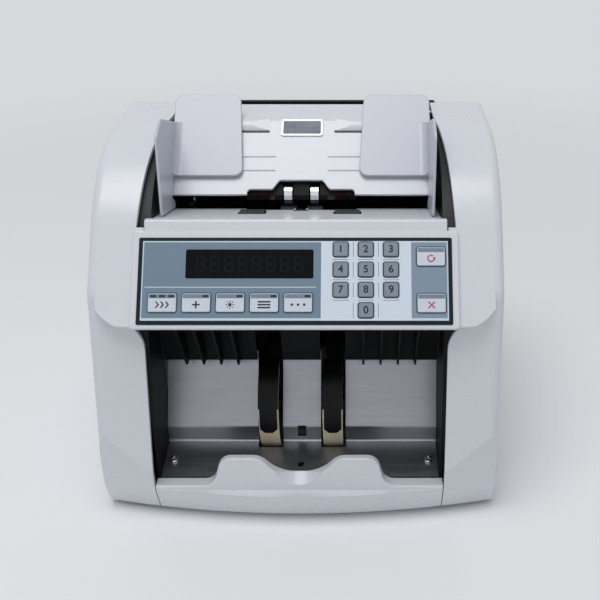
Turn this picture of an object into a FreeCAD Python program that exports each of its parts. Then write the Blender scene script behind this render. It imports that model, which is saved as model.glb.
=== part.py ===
import FreeCAD, Part
import math
import os

V = FreeCAD.Vector
os.makedirs("parts", exist_ok=True)

# Whole machine, in millimetres. X to the right, Y to the rear, Z up, the floor at Z = 0.
body_width = 290.0
body_depth = 252.0
cover_top = 257.0
foot_height = 4.0
foot_radius = 9.0
foot_inset = 26.0
foot_round = 1.0
tool_reach = 9.0

# Side covers
cheek_width = 39.0
cheek_wall = 3.0
cheek_edge_round = 7.0
cheek_crown_round = 120.0
cheek_rear_round = 38.0
cheek_rear_inset = 1.0
pillar_top_y = -95.0
pillar_top_z = 140.0
pillar_lean = 12.8
pillar_corner_round = 20.0
bulge_corner_round = 33.0
bulge_overlap = 4.0
bulge_edge_round = 1.5
bow_radius = 650.0
bow_edge_z = 26.0
bow_undercut = 8.0
shoulder_round = 20.0
flange_reach = 4.6
flange_front_gap = 5.5
flange_front_y = -58.0
flange_full_y = 50.0
flange_rear_y = 89.0
boss_radius = 5.0
boss_places = [(84.0, 196.0), (96.0, 30.0), (-38.0, 132.0)]

# Base plate and frame
base_thickness = 3.0
base_front_y = -97.0
base_side_gap = 1.0
frame_thickness = 2.0
frame_gap = 1.0
frame_inset = 6.0
frame_front_y = -58.0
frame_rear_y = 112.0
frame_nose_z = 154.0
frame_flange = 12.0
tie_radius = 5.0
tie_places = [(32.0, 212.0), (78.0, 72.0), (-45.0, 150.0), (104.0, 140.0)]

# Control panel
panel_tilt = 51.6
panel_mid_y = -84.4
panel_mid_z = 181.3
panel_proud = 3.0
panel_lap = 7.0
panel_low = -33.5
panel_high = 36.0
panel_edge_round = 1.5
panel_corner_round = 2.0
panel_corner_run = 2.0
rim_depth = 8.0
rim_wall = 2.5
rim_side_gap = 1.0
rim_low = -32.0
rim_high = 34.0
print_margin = 5.0
print_drawn_width = 216.0
print_height = 61.0
print_thickness = 0.5
print_corner = 1.2
window_left = -75.3
window_right = 12.6
window_low = 1.75
window_high = 22.1
window_corner = 1.2
window_proud = 0.3
window_depth = 2.0
board_depth = 6.0
board_thickness = 1.6
board_side_gap = 1.5
board_end_gap = 0.5
board_boss_radius = 2.5
digits_inset_u = 4.0
digits_inset_v = 3.0
digits_gap = 0.5
board_boss_u = 77.0
board_boss_inset_v = 3.5

# Keys
key_proud = 1.2
key_gap = 0.3
key_corner = 1.2
key_flange = 1.0
key_flange_thickness = 1.0
key_travel = 0.7
key_foot_gap = 0.1
key_edge_round = 0.5
digit_width = 9.8
digit_height = 9.8
digit_first_u = 31.3
digit_pitch_u = 17.3
digit_first_v = 22.1
digit_pitch_v = 14.2
mode_width = 19.2
mode_height = 12.8
mode_first_u = -90.4
mode_pitch_u = 23.2
mode_v = -15.3
side_key_u = 93.4
side_key_high_v = 17.0
side_key_low_v = -15.5

# Hopper floor
floor_tilt = 14.5
floor_front_y = -54.0
floor_front_z = 213.5
floor_length = 62.0
floor_thickness = 1.2
floor_side_gap = 0.5
floor_notch_half = 42.0
floor_notch_depth = 9.0
floor_lip_rise = 1.2
floor_lip_front = -5.0
floor_lip_rear = 9.0
floor_lip_bow = 729.0
floor_lip_gap = 1.0
floor_notch_round = 3.0

# Shafts and rollers
shaft_radius = 4.0
bearing_radius = 8.0
bearing_width = 5.0
fit = 0.05
kick_setback = 21.0
kick_radius = 16.0
kick_rise = 2.0
kick_width = 18.0
kick_u = 35.2
kick_slot_length = 21.0
kick_slot_width = 20.7
kick_slot_round = 2.0
pinch_past = 2.8
pinch_above = 10.5
pinch_radius = 8.0
pinch_width = 6.0
pinch_u = 10.0
pinch_axle_radius = 2.0
pinch_slot_gap = 1.2
feed_radius = 14.0
feed_width = 12.0
feed_gap = 0.4
stacker_y = -38.0
stacker_z = 72.0
shaft_end_left = 4.0
shaft_end_right = 24.0

# Drive
pulley_width = 6.0
pulley_space = 3.0
pulley_start = 5.0
pulley_flange = 1.5
pulley_rim = 1.0
feed_pulley_radius = 10.0
kick_pulley_radius = 9.0
stacker_pulley_radius = 12.0
motor_pulley_radius = 7.0
motor_radius = 25.0
motor_length = 70.0
motor_shaft_radius = 3.0
motor_bore = 12.0
motor_grip = 10.0
feed_motor_y = 53.0
feed_motor_z = 140.0
stack_motor_z = 45.0
stack_motor_gap = 3.0
belt_thickness = 1.2
belt_gap = 0.35
belt_side_gap = 0.6

# Stacker wheels
wheel_u = 24.0
hub_radius = 15.0
hub_width = 15.0
finger_count = 2
finger_tip_radius = 49.0
finger_root = 2.0
finger_thickness = 2.6
finger_sweep = 110.0
finger_neck = 13.0
finger_chamfer = 3.6
blade_thickness = 1.4
blade_width = 15.0
wheel_start_angle = 22.0
blade_from = 0.35
blade_past = 1.26
blade_gap = 0.1
neck_from = 0.78

# Stacker pocket
plate_thickness = 1.5
plate_side_gap = 0.4
plate_bend_y = -72.0
plate_bend_z = 37.0
plate_upright = 13.0
plate_slope = 60.0
plate_slope_length = 58.0
plate_floor_tilt = 11.0
plate_upper_bend = 4.0
plate_lower_bend = 2.0
plate_lip_gap = 0.3
plate_slot_half = 9.5
plate_slot_reach = 7.0
plate_hole_half = 3.3
plate_hole_height = 9.6
plate_hole_low = 4.0
floor_hole_radius = 2.4
floor_hole_reach = 24.0
plate_post_inset = 7.0
plate_post_reach = 20.0
plate_post_radius = 5.0
wall_thickness = 2.2
wall_outer_gap = 0.4
wall_front_y = -106.4
wall_step_z = 75.0
wall_top_z = 147.0
wall_setback = 4.0
wall_rear_gap = 1.0
lining_gap = 0.4
lining_thickness = 2.0
lining_margin = 2.0
exit_front_y = -97.0
exit_front_z = 149.0
exit_rear_y = -59.0
exit_rear_z = 133.0
exit_thickness = 2.0
exit_round = 6.0
exit_foot_run = 6.5
exit_foot_drop = 35.0
rib_thickness = 1.6
rib_pitch = 13.0
rib_count = 4
rib_first_u = 47.0
rib_inset = 10.0
rib_foot = 7.0
rib_sink = 0.5

# Front lip
lip_rear_y = -107.0
lip_end_gap = 0.6
lip_flat_z = 29.5
lip_valley_z = 36.2
hump_top_z = 51.0
hump_outer_u = 63.0
hump_outer_top_u = 57.0
hump_inner_top_u = 28.0
hump_inner_u = 15.0
hump_round = 10.0
hump_inner_round = 14.0
valley_round = 27.5
scoop_radius = 25.0
scoop_fall = 31.0
scoop_start = 0.4
lip_slope_front_y = -118.0
lip_slope_rear_y = -112.5
lip_slope_rise = 0.6
lip_edge_round = 1.6

# Top cover and hopper guides
slope_tilt = 45.0
slope_ahead = 7.025
slope_above = 14.024
slope_length = 63.64
crest_round = 10.0
lid_thickness = 2.5
lid_side_gap = 2.6
lid_rear_y = 83.5
lid_web = 2.5
web_sink = 1.0
web_low_v = 4.0
web_low_depth = 8.0
web_crest_back = 8.0
web_crest_past = 6.0
web_rear_inset = 2.0
web_hinge_drop = 4.0
web_rail_above = 8.0
web_rail_below = 6.0
web_rail_depth = 5.0
hinge_y = 82.0
hinge_drop = 6.5
hinge_rod_radius = 2.0
knuckle_radius = 4.5
knuckle_u = 70.0
knuckle_width = 20.0
hinge_fit = 0.08
cut_wide_half = 40.5
cut_wide_high = 4.5
cut_mid_half = 21.5
cut_narrow_half = 16.3
cut_high = 12.0
cut_round = 3.0
cut_margin = 6.0
slot_margin = 1.5
slot_below_crest = 12.14
slot_height = 2.0
slot_inner_gap = 6.0
slot_outer_gap = 2.8
hood_badge_gap = 9.0
hood_width = 10.0
hood_rise = 1.4
hood_fade = 22.0
ridge_inner_u = 20.0
ridge_outer_u = 46.0
ridge_shares = [0.3064, 0.4871]
ridge_width = 0.8
ridge_height = 0.6
badge_half_width = 16.0
badge_below_crest = 15.24
badge_height = 14.0
badge_thickness = 1.2
badge_corner = 1.5
badge_edge_round = 0.5
guide_side_gap = 0.8
guide_thickness = 2.2
guide_lift = 2.2
guide_flap_low_width = 54.3
guide_flap_high_width = 50.5
guide_flap_low_v = 13.6
guide_flap_high_v = 82.0
guide_flap_round = 6.5
guide_front_y = -41.0
guide_knee_y = -33.0
guide_knee_z = 268.0
guide_top_y = -13.0
guide_top_z = 274.0
guide_join_v = 58.0
guide_inner_round = 6.0
guide_edge_round = 0.7
guide_floor_gap = 1.0
guide_toe_round = 2.0
guide_knee_round = 6.0
guide_top_round = 8.0
guide_heel_v = 3.5
guide_heel_step = 0.2
guide_heel_rise = 5.0
guide_heel_inset = 3.0
guide_arm_inset = 45.0
guide_arm_width = 22.0
guide_arm_thickness = 1.2
guide_travel = 22.0
rail_radius = 3.0
rail_depth = 12.0
rail_fit = 0.08
slider_radius = 6.0

# Separator block
block_half = 42.0
beam_side_gap = 0.8
block_front = 8.0
block_rear = 30.0
block_low = 1.5
block_high = 18.0
block_setback = 4.6
block_window_u = 27.0
block_window_half = 7.0
block_window_height = 3.6
block_window_depth = 1.5
block_window_rise = 0.6

# Rear cover, inlet and boards
rear_front_y = 90.0
rear_round = 36.0
rear_wall = 3.0
rear_side_gap = 1.0
rear_rise = 0.5
vent_count = 9
vent_width = 3.0
vent_pitch = 9.0
vent_length = 50.0
vent_low_z = 60.0
inlet_inset = 33.0
inlet_z = 38.0
inlet_width = 28.0
inlet_height = 20.0
inlet_depth = 22.0
inlet_wall = 3.0
inlet_pin = 2.0
inlet_corner = 4.0
inlet_round = 1.0
inlet_flush = 0.5
pin_places = [(-6.5, -1.5), (0.0, 2.5), (6.5, -1.5)]
pin_setback = 5.0
switch_spacing = 34.0
switch_width = 13.0
switch_height = 20.0
switch_frame = 2.5
switch_depth = 16.0
switch_gap = 0.5
switch_lean = 10.0
switch_flush = 0.3
switch_floor = 2.0
switch_pivot_depth = 8.0
rocker_face_share = 0.55
rocker_back_share = 0.4
pcb_thickness = 1.6
pcb_stand = 5.0
pcb_front_y = 0.0
pcb_length = 96.0
pcb_low_z = 88.0
pcb_height = 84.0
pcb_post_inset = 6.0
pcb_post_radius = 3.0
chip_sizes = [
    (24.0, 30.0, 18.0, 18.0, 2.5),
    (60.0, 50.0, 22.0, 10.0, 4.0),
    (66.0, 22.0, 10.0, 16.0, 12.0),
]
core_u = -52.0
core_y = 62.0
core_width = 58.0
core_depth = 46.0
core_height = 48.0
coil_width = 40.0
coil_height = 34.0
coil_depth = 58.0
coil_round = 5.0

# Screws and sensors
screw_head_radius = 3.2
screw_head_height = 2.0
screw_shank_radius = 1.6
screw_shank_length = 9.0
screw_slot = 1.0
sensor_width = 11.0
sensor_depth = 5.0
sensor_height = 4.0
eye_radius = 2.0
eye_gap = 0.4
sensor_back_gap = 0.4
eye_rise = 0.8
lens_inset = 0.2

# Places that follow from the sizes above
half_w = body_width / 2
half_d = body_depth / 2
cheek_in = half_w - cheek_width
frame_out = cheek_in - frame_gap
frame_in = frame_out - frame_thickness
flange_inner_u = cheek_in - flange_reach
flange_front_u = cheek_in + flange_front_gap
panel_half_width = cheek_in + panel_lap
print_width = 2 * (panel_half_width - print_margin)
spread = print_width / print_drawn_width
rim_half = frame_in - rim_side_gap
board_width = 2 * (rim_half - rim_wall - board_side_gap)
board_height = -2 * (rim_low + rim_wall + board_end_gap)
wall_outer = cheek_in - wall_outer_gap
wall_inner = wall_outer - wall_thickness
plate_half_width = wall_inner - plate_side_gap
plate_post_u = plate_half_width - plate_post_inset
lid_half = flange_inner_u - lid_side_gap
guide_wall_u = lid_half - guide_side_gap
guide_flap_low_u = guide_wall_u - guide_flap_low_width
guide_flap_high_u = guide_wall_u - guide_flap_high_width
guide_arm_inner_u = guide_wall_u - guide_arm_inset
slot_inner_u = guide_arm_inner_u - guide_travel - slot_inner_gap
slot_outer_u = lid_half - slot_outer_gap
rear_half = cheek_in - rear_side_gap
inlet_u = inlet_inset - rear_half
switch_u = inlet_u + switch_spacing
kick_contact = floor_length - kick_setback
base_top = foot_height + base_thickness
bow_front_y = -half_d
tilt_sin = math.sin(math.radians(panel_tilt))
tilt_cos = math.cos(math.radians(panel_tilt))
floor_sin = math.sin(math.radians(floor_tilt))
floor_cos = math.cos(math.radians(floor_tilt))
slope_sin = math.sin(math.radians(slope_tilt))
slope_cos = math.cos(math.radians(slope_tilt))
pillar_run = math.tan(math.radians(pillar_lean))
cheek_rear_y = half_d - cheek_rear_inset
floor_end_y = floor_front_y + floor_length * floor_cos
floor_end_z = floor_front_z - floor_length * floor_sin
slope_low_y = floor_end_y - slope_ahead
slope_low_z = floor_end_z + slope_above
crest_y = slope_low_y + slope_length * slope_cos
crest_z = slope_low_z + slope_length * slope_sin
hinge_z = crest_z - hinge_drop
slot_v = slope_length - slot_below_crest
badge_low_v = slope_length - badge_below_crest
key_foot = board_depth - key_travel - key_foot_gap


def side(a, b):
    return V(0, a, b)


def plan(a, b):
    return V(a, b, 0)


def front(a, b):
    return V(a, 0, b)


def outline(points, to_space):
    """Closed wire through the points; a third number rounds that corner."""
    flat = [V(p[0], p[1], 0) for p in points]
    radius = [p[2] if len(p) > 2 else 0.0 for p in points]
    count = len(flat)
    starts = []
    ends = []
    mids = []
    for i in range(count):
        here = flat[i]
        to_last = (flat[i - 1] - here).normalize()
        to_next = (flat[(i + 1) % count] - here).normalize()
        if radius[i] <= 0:
            starts.append(here)
            ends.append(here)
            mids.append(None)
            continue
        half = to_last.getAngle(to_next) / 2
        reach = radius[i] / math.tan(half)
        inward = (to_last + to_next).normalize()
        starts.append(here + to_last * reach)
        ends.append(here + to_next * reach)
        mids.append(here + inward * (radius[i] / math.sin(half) - radius[i]))
    edges = []
    for i in range(count):
        if mids[i] is not None:
            arc = [to_space(p.x, p.y) for p in (starts[i], mids[i], ends[i])]
            edges.append(Part.Arc(*arc).toShape())
        a = to_space(ends[i].x, ends[i].y)
        b = to_space(starts[(i + 1) % count].x, starts[(i + 1) % count].y)
        if a.distanceToPoint(b) > 1e-6:
            edges.append(Part.makeLine(a, b))
    return Part.Wire(edges)


def side_prism(points, x0, x1):
    face = Part.Face(outline(points, side))
    face.translate(V(x0, 0, 0))
    return face.extrude(V(x1 - x0, 0, 0))


def plan_prism(points, z0, z1):
    face = Part.Face(outline(points, plan))
    face.translate(V(0, 0, z0))
    return face.extrude(V(0, 0, z1 - z0))


def front_prism(points, y0, y1):
    face = Part.Face(outline(points, front))
    face.translate(V(0, y0, 0))
    return face.extrude(V(0, y1 - y0, 0))


def box(x0, x1, y0, y1, z0, z1):
    return Part.makeBox(x1 - x0, y1 - y0, z1 - z0, V(x0, y0, z0))


def rod(x0, x1, y, z, radius):
    return Part.makeCylinder(radius, x1 - x0, V(x0, y, z), V(1, 0, 0))


def tube(x0, x1, y, z, outer, inner):
    return rod(x0, x1, y, z, outer).cut(rod(x0 - 1, x1 + 1, y, z, inner))


def rounded(u0, u1, v0, v1, corner, w0, w1):
    """Plate with rounded corners, in the frame of a tilted surface."""
    points = [(u0, v0, corner), (u1, v0, corner), (u1, v1, corner), (u0, v1, corner)]
    return plan_prism(points, w0, w1)


def strip(path, thickness):
    """Outline of a bent sheet: the path, and its copy to the left of it."""
    left = []
    count = len(path)
    for i in range(count):
        here = V(path[i][0], path[i][1], 0)
        dirs = []
        if i > 0:
            dirs.append((here - V(path[i - 1][0], path[i - 1][1], 0)).normalize())
        if i < count - 1:
            dirs.append((V(path[i + 1][0], path[i + 1][1], 0) - here).normalize())
        normals = [V(-d.y, d.x, 0) for d in dirs]
        total = normals[0] + normals[-1]
        moved = here + total * (thickness / (1 + normals[0].dot(normals[-1])))
        bend = path[i][2] if len(path[i]) > 2 else 0.0
        if bend > 0:
            turn = dirs[0].x * dirs[-1].y - dirs[0].y * dirs[-1].x
            bend = bend - thickness if turn > 0 else bend + thickness
        left.append((moved.x, moved.y, bend))
    return list(path) + left[::-1]


def tilted(shape, y, z, degrees):
    """Turns a shape made on the level about X and carries it to its place."""
    shape.Placement = FreeCAD.Placement(V(0, y, z), FreeCAD.Rotation(V(1, 0, 0), degrees))
    return shape.copy()


def on_panel(shape):
    return tilted(shape, panel_mid_y, panel_mid_z, panel_tilt)


def on_floor(shape):
    return tilted(shape, floor_front_y, floor_front_z, -floor_tilt)


def on_slope(shape):
    return tilted(shape, slope_low_y, slope_low_z, slope_tilt)


def panel_point(v, w):
    y = panel_mid_y + v * tilt_cos - w * tilt_sin
    return (y, panel_mid_z + v * tilt_sin + w * tilt_cos)


def floor_point(v, w):
    y = floor_front_y + v * floor_cos + w * floor_sin
    return (y, floor_front_z - v * floor_sin + w * floor_cos)


def slope_point(v, w):
    y = slope_low_y + v * slope_cos - w * slope_sin
    return (y, slope_low_z + v * slope_sin + w * slope_cos)


def mirrored(shape):
    return shape.mirror(V(0, 0, 0), V(1, 0, 0))


def pair(shape):
    return Part.makeCompound([shape, mirrored(shape)])


def joined(shapes):
    return shapes[0].fuse(shapes[1:]).removeSplitter()


def save(name, shape):
    shape.exportStep("parts/" + name + ".step")


# Screw with a cross slot, head up, standing on the level
def screw():
    head = Part.makeCylinder(screw_head_radius, screw_head_height)
    rim = [e for e in head.Edges if e.BoundBox.ZMin > screw_head_height / 2]
    head = head.makeFillet(screw_head_height / 3, rim[:1])
    shank = Part.makeCylinder(screw_shank_radius, screw_shank_length, V(0, 0, -screw_shank_length))
    body = head.fuse(shank)
    reach = screw_head_radius * 0.65
    half = screw_slot / 2
    deep = screw_head_height * 0.5
    body = body.cut(box(-reach, reach, -half, half, deep, screw_head_height + 1))
    body = body.cut(box(-half, half, -reach, reach, deep, screw_head_height + 1))
    return body.removeSplitter()


# Front edge of the whole machine: bowed in plan, undercut below the edge
def bow_body(inset):
    centre_y = bow_front_y + bow_radius
    round_face = Part.Face(Part.Wire(Part.makeCircle(bow_radius - inset, V(0, centre_y, bow_edge_z))))
    upper = round_face.extrude(V(0, 0, cover_top))
    drop = bow_edge_z
    run = bow_undercut * bow_edge_z / (bow_edge_z - foot_height)
    lower = round_face.extrude(V(0, run, -drop))
    return upper.fuse(lower)


# Side cover: pillar below, panel slope above, crowned top, rounded rear
cheek_slope_y, cheek_slope_z = panel_point(0, -panel_proud)
cheek_ridge_y = cheek_slope_y + (cover_top - cheek_slope_z) * tilt_cos / tilt_sin
slope_run = tilt_cos / tilt_sin
pillar_zero = pillar_top_y - pillar_top_z * pillar_run
slope_zero = cheek_slope_y - cheek_slope_z * slope_run
corner_z = (pillar_zero - slope_zero) / (slope_run - pillar_run)
corner_y = pillar_zero + corner_z * pillar_run


nose_y, nose_z = panel_point(panel_low, -panel_proud)


def pillar_at(z):
    return pillar_zero + z * pillar_run


def cheek_outline(low):
    return outline(
        [
            (pillar_at(low), low),
            (corner_y, corner_z, pillar_corner_round),
            (cheek_ridge_y, cover_top, cheek_crown_round),
            (cheek_rear_y, cover_top, cheek_rear_round),
            (cheek_rear_y, low),
        ],
        side,
    )


def side_cover():
    face = Part.Face(cheek_outline(foot_height))
    face.translate(V(cheek_in, 0, 0))
    block = face.extrude(V(cheek_width, 0, 0))
    outer_edges = []
    for edge in block.Edges:
        bounds = edge.BoundBox
        if bounds.XMin > half_w - 0.01 and bounds.ZMax > foot_height + 1:
            outer_edges.append(edge)
    block = block.makeFillet(cheek_edge_round, outer_edges)
    block = block.common(bow_body(0))
    crest_v = (corner_z + pillar_corner_round - panel_mid_z) / tilt_sin
    high_y, high_z = panel_point(crest_v, -panel_proud)
    back_y = pillar_at(nose_z) + bulge_overlap
    wedge_points = [
        (nose_y, nose_z, bulge_edge_round),
        (back_y, nose_z),
        (high_y + bulge_overlap, high_z),
        (high_y, high_z),
    ]
    wedge = side_prism(wedge_points, cheek_in, half_w)
    round_x = panel_half_width
    reach = bulge_corner_round
    mask_points = [
        (cheek_in - 1, nose_z),
        (round_x + reach, nose_z, reach - 0.01),
        (round_x + reach, nose_z + 3 * reach),
        (cheek_in - 1, nose_z + 3 * reach),
    ]
    wedge = wedge.common(front_prism(mask_points, -half_d, 0))
    wedge = wedge.common(block.fuse(box(cheek_in, half_w - cheek_edge_round, -half_d, 0, 0, cover_top)))
    block = joined([block, wedge])
    low = foot_height - 2 * cheek_wall
    cave_wire = cheek_outline(low).makeOffset2D(-cheek_wall, 2, False, False)
    cave = Part.Face(cave_wire)
    cave.translate(V(cheek_in - 1, 0, 0))
    cave = cave.extrude(V(cheek_width + 1 - cheek_wall, 0, 0))
    open_foot = box(cheek_in - 2, half_w, -half_d / 2, half_d, -1, foot_height + 1)
    cave = cave.common(bow_body(cheek_wall).fuse(open_foot))
    block = block.cut(cave)
    corner_x = cheek_in + shoulder_round
    corner_low = nose_z - shoulder_round
    shoulder = box(cheek_in - 1, corner_x, -half_d, 0, corner_low, nose_z)
    roll = Part.makeCylinder(shoulder_round, half_d, V(corner_x, -half_d, corner_low), V(0, 1, 0))
    block = block.cut(shoulder.cut(roll))
    skin = Part.Face(cheek_outline(low)).cut(Part.Face(cave_wire))
    skin.translate(V(flange_inner_u - 1, 0, 0))
    skin = skin.extrude(V(cheek_in + cheek_wall - flange_inner_u + 2, 0, 0))
    flange = skin.common(
        box(flange_inner_u, cheek_in + cheek_wall, flange_front_y, flange_rear_y, nose_z, cover_top + 1)
    )
    gap_points = [
        (flange_inner_u - 1, flange_front_y),
        (flange_front_u, flange_front_y),
        (flange_inner_u, flange_full_y),
        (flange_inner_u - 1, flange_full_y),
    ]
    gap = plan_prism(gap_points, nose_z, cover_top + 1)
    posts = [flange]
    for y, z in boss_places:
        posts.append(rod(frame_out, half_w - cheek_wall / 2, y, z, boss_radius))
    block = joined([block] + posts).cut(gap)
    for y, z in boss_places:
        block = block.cut(rod(frame_out - 1, half_w + 1, y, z, screw_shank_radius + fit))
        block = block.cut(rod(half_w - screw_head_height, half_w + 1, y, z, screw_head_radius + 0.4))
    return block


right_cover = side_cover()
save("right_side_cover", right_cover)
save("left_side_cover", mirrored(right_cover))

# Screws: three through each side cover, two that hold the stacker plate
screws = []
for y, z in boss_places:
    one = screw()
    one.rotate(V(0, 0, 0), V(0, 1, 0), 90)
    one.translate(V(half_w - screw_head_height, y, z))
    screws.append(one)
    screws.append(mirrored(one))
save("cover_screws", Part.makeCompound(screws))

# Base plate with the two posts under the stacker plate, and the four feet
half_base = half_w - cheek_wall - base_side_gap
base_rear_y = cheek_rear_y - cheek_wall - base_side_gap
base = box(-half_base, half_base, base_front_y, base_rear_y, foot_height, base_top)
base = base.fuse(box(-frame_in, frame_in, base_rear_y, half_d, foot_height, base_top))
base = base.fuse(box(-wall_inner + 1, wall_inner - 1, lip_rear_y, base_front_y, foot_height, base_top))
plate_sin = math.sin(math.radians(plate_floor_tilt))
plate_cos = math.cos(math.radians(plate_floor_tilt))
post_y = plate_bend_y - plate_post_reach * plate_cos
post_z = plate_bend_z - plate_post_reach * plate_sin
for u in (-plate_post_u, plate_post_u):
    post = Part.makeCylinder(plate_post_radius, plate_bend_z, V(u, post_y, foot_height))
    above = box(-half_w, half_w, -half_d, half_d, -plate_thickness, cover_top)
    above = tilted(above, plate_bend_y, plate_bend_z, plate_floor_tilt)
    base = base.fuse(post.cut(above))
base = base.removeSplitter()
for u in (-plate_post_u, plate_post_u):
    hole = Part.makeCylinder(screw_shank_radius + fit, 2 * plate_bend_z, V(0, 0, -plate_bend_z))
    hole = tilted(hole, post_y, post_z, plate_floor_tilt)
    hole.translate(V(u, 0, 0))
    base = base.cut(hole.common(box(-half_w, half_w, -half_d, half_d, base_top + 4, cover_top)))
save("base_plate", base)

feet = []
for u in (foot_inset - half_w, half_w - foot_inset):
    for y in (base_front_y + foot_inset / 2, half_d - foot_inset):
        foot = Part.makeCylinder(foot_radius, foot_height, V(u, y, 0))
        rim = [e for e in foot.Edges if e.BoundBox.ZMax < 0.1]
        feet.append(foot.makeFillet(foot_round, rim))
save("rubber_feet", Part.makeCompound(feet))

# Places of the shafts, and of the motors that drive them
def finger_radius(part):
    root = hub_radius - finger_root
    return root + (finger_tip_radius - root) * part**0.6


pinch_y, pinch_z = floor_point(floor_length + pinch_past, pinch_above)
kick_y, kick_z = floor_point(kick_contact, kick_rise - kick_radius)
feed_reach = pinch_radius + feed_radius + feed_gap
feed_y = pinch_y - feed_reach * floor_sin
feed_z = pinch_z - feed_reach * floor_cos
shaft_places = [(kick_y, kick_z), (feed_y, feed_z), (stacker_y, stacker_z)]
stack_motor_reach = finger_radius(blade_past) + motor_radius + stack_motor_gap
stack_motor_run = math.sqrt(stack_motor_reach**2 - (stacker_z - stack_motor_z) ** 2)
stack_motor_y = stacker_y + stack_motor_run
motor_places = [(feed_motor_y, feed_motor_z), (stack_motor_y, stack_motor_z)]

# Side frame plates, drilled for the bearings and motor shafts, with a flange under the side cover's gap
frame_wire = cheek_outline(base_top - frame_inset).makeOffset2D(-frame_inset, 2, False, False)
plate = Part.Face(frame_wire)
plate.translate(V(frame_in, 0, 0))
plate = plate.extrude(V(frame_thickness, 0, 0))
keep = box(0, half_w, frame_front_y, frame_rear_y, base_top, cover_top)
keep = keep.fuse(box(0, half_w, -half_d, frame_rear_y, frame_nose_z, cover_top))
plate = plate.common(keep)
edge_wire = frame_wire.makeOffset2D(-frame_thickness, 2, False, False)
edge = Part.Face(frame_wire).cut(Part.Face(edge_wire))
edge.translate(V(frame_in, 0, 0))
edge = edge.extrude(V(frame_thickness + frame_flange, 0, 0))
edge = edge.common(box(0, half_w, flange_front_y, flange_full_y, frame_nose_z, cover_top))
plate = plate.fuse(edge)
for y, z in shaft_places:
    plate = plate.cut(rod(frame_in - 1, frame_out + 1, y, z, bearing_radius + fit))
for y, z in motor_places:
    plate = plate.cut(rod(frame_in - 1, frame_out + 1, y, z, motor_shaft_radius + 1))
save("frame_plates", pair(plate.removeSplitter()))

ties = []
for y, z in tie_places:
    ties.append(rod(-frame_in, frame_in, y, z, tie_radius))
ties.append(rod(-frame_in, frame_in, hinge_y, hinge_z, hinge_rod_radius))
save("frame_tie_bars", Part.makeCompound(ties))

bearings = []
for y, z in shaft_places:
    ring_start = frame_out - bearing_width
    ring = tube(ring_start, frame_out, y, z, bearing_radius, shaft_radius + fit)
    bearings.append(ring)
    bearings.append(mirrored(ring))
save("shaft_bearings", Part.makeCompound(bearings))

# Front housing: face plate over the side covers, a rim behind it and a lip over the hopper floor
keys = []
digit_bottom = digit_first_v - 3 * digit_pitch_v
cap_width = spread * digit_width
keys.append(("key_0", spread * (digit_first_u + digit_pitch_u), digit_bottom, cap_width, digit_height))
for number in range(1, 10):
    row = (number - 1) // 3
    column = (number - 1) % 3
    key_u = spread * (digit_first_u + column * digit_pitch_u)
    key_v = digit_first_v - row * digit_pitch_v
    keys.append(("key_%d" % number, key_u, key_v, cap_width, digit_height))
mode_names = ["key_mode_1", "key_mode_2", "key_mode_3", "key_mode_4", "key_mode_5"]
wide_cap = spread * mode_width
for i, name in enumerate(mode_names):
    keys.append((name, spread * (mode_first_u + i * mode_pitch_u), mode_v, wide_cap, mode_height))
keys.append(("key_start", spread * side_key_u, side_key_high_v, wide_cap, mode_height))
keys.append(("key_stop", spread * side_key_u, side_key_low_v, wide_cap, mode_height))


def key_hole(u, v, width, height, grow, top):
    x = width / 2 + grow
    y = height / 2 + grow
    return rounded(u - x, u + x, v - y, v + y, key_corner + grow, -rim_depth, top)


face_half = panel_half_width
face = rounded(-face_half, face_half, panel_low, panel_high, panel_edge_round * 2, -panel_proud, 0)
top_edges = [e for e in face.Edges if e.BoundBox.ZMin > -0.01 and e.BoundBox.YMin < panel_high - 4]
face = face.makeFillet(panel_edge_round, top_edges)
rim = box(-rim_half, rim_half, rim_low, rim_high, -rim_depth, -panel_proud)
rim_in = rim_half - rim_wall
rim = rim.cut(box(-rim_in, rim_in, rim_low + rim_wall, rim_high - rim_wall, -rim_depth, -panel_proud))
housing = face.fuse(rim)
boss_u = spread * board_boss_u
boss_v = board_height / 2 - board_boss_inset_v
for u in (-boss_u, boss_u):
    for v in (-boss_v, boss_v):
        post = Part.makeCylinder(board_boss_radius, board_depth - panel_proud, V(u, v, -board_depth))
        housing = housing.fuse(post)
for name, u, v, width, height in keys:
    housing = housing.cut(key_hole(u, v, width, height, key_gap, rim_depth))
    housing = housing.cut(key_hole(u, v, width, height, key_gap + key_flange, -panel_proud))
pane_left = spread * window_left
pane_right = spread * window_right
window_hole = rounded(pane_left, pane_right, window_low, window_high, window_corner, -rim_depth, rim_depth)
housing = housing.cut(window_hole)
housing = on_panel(housing)
lip_half = cheek_in - floor_lip_gap
lip_board = box(-lip_half, lip_half, floor_lip_front, floor_lip_rear, 0, floor_lip_rise)
bow_face = Part.makeCylinder(floor_lip_bow, 2 * tool_reach, V(0, floor_lip_rear - floor_lip_bow, -tool_reach))
lip_board = on_floor(lip_board.common(bow_face))
corner_points = [
    panel_point(panel_high - panel_corner_run, 0),
    panel_point(panel_high, 0),
    floor_point(floor_lip_front, floor_lip_rise),
    floor_point(floor_lip_front + 1, floor_lip_rise),
    floor_point(floor_lip_front + 1, 0),
    floor_point(floor_lip_front, 0),
    panel_point(panel_high, -panel_proud),
    panel_point(panel_high - panel_corner_run, -panel_proud),
]
corner_points[2] = corner_points[2] + (panel_corner_round,)
corner = side_prism(corner_points, -lip_half, lip_half)
housing = joined([housing, lip_board, corner])
save("front_housing", housing)

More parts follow.
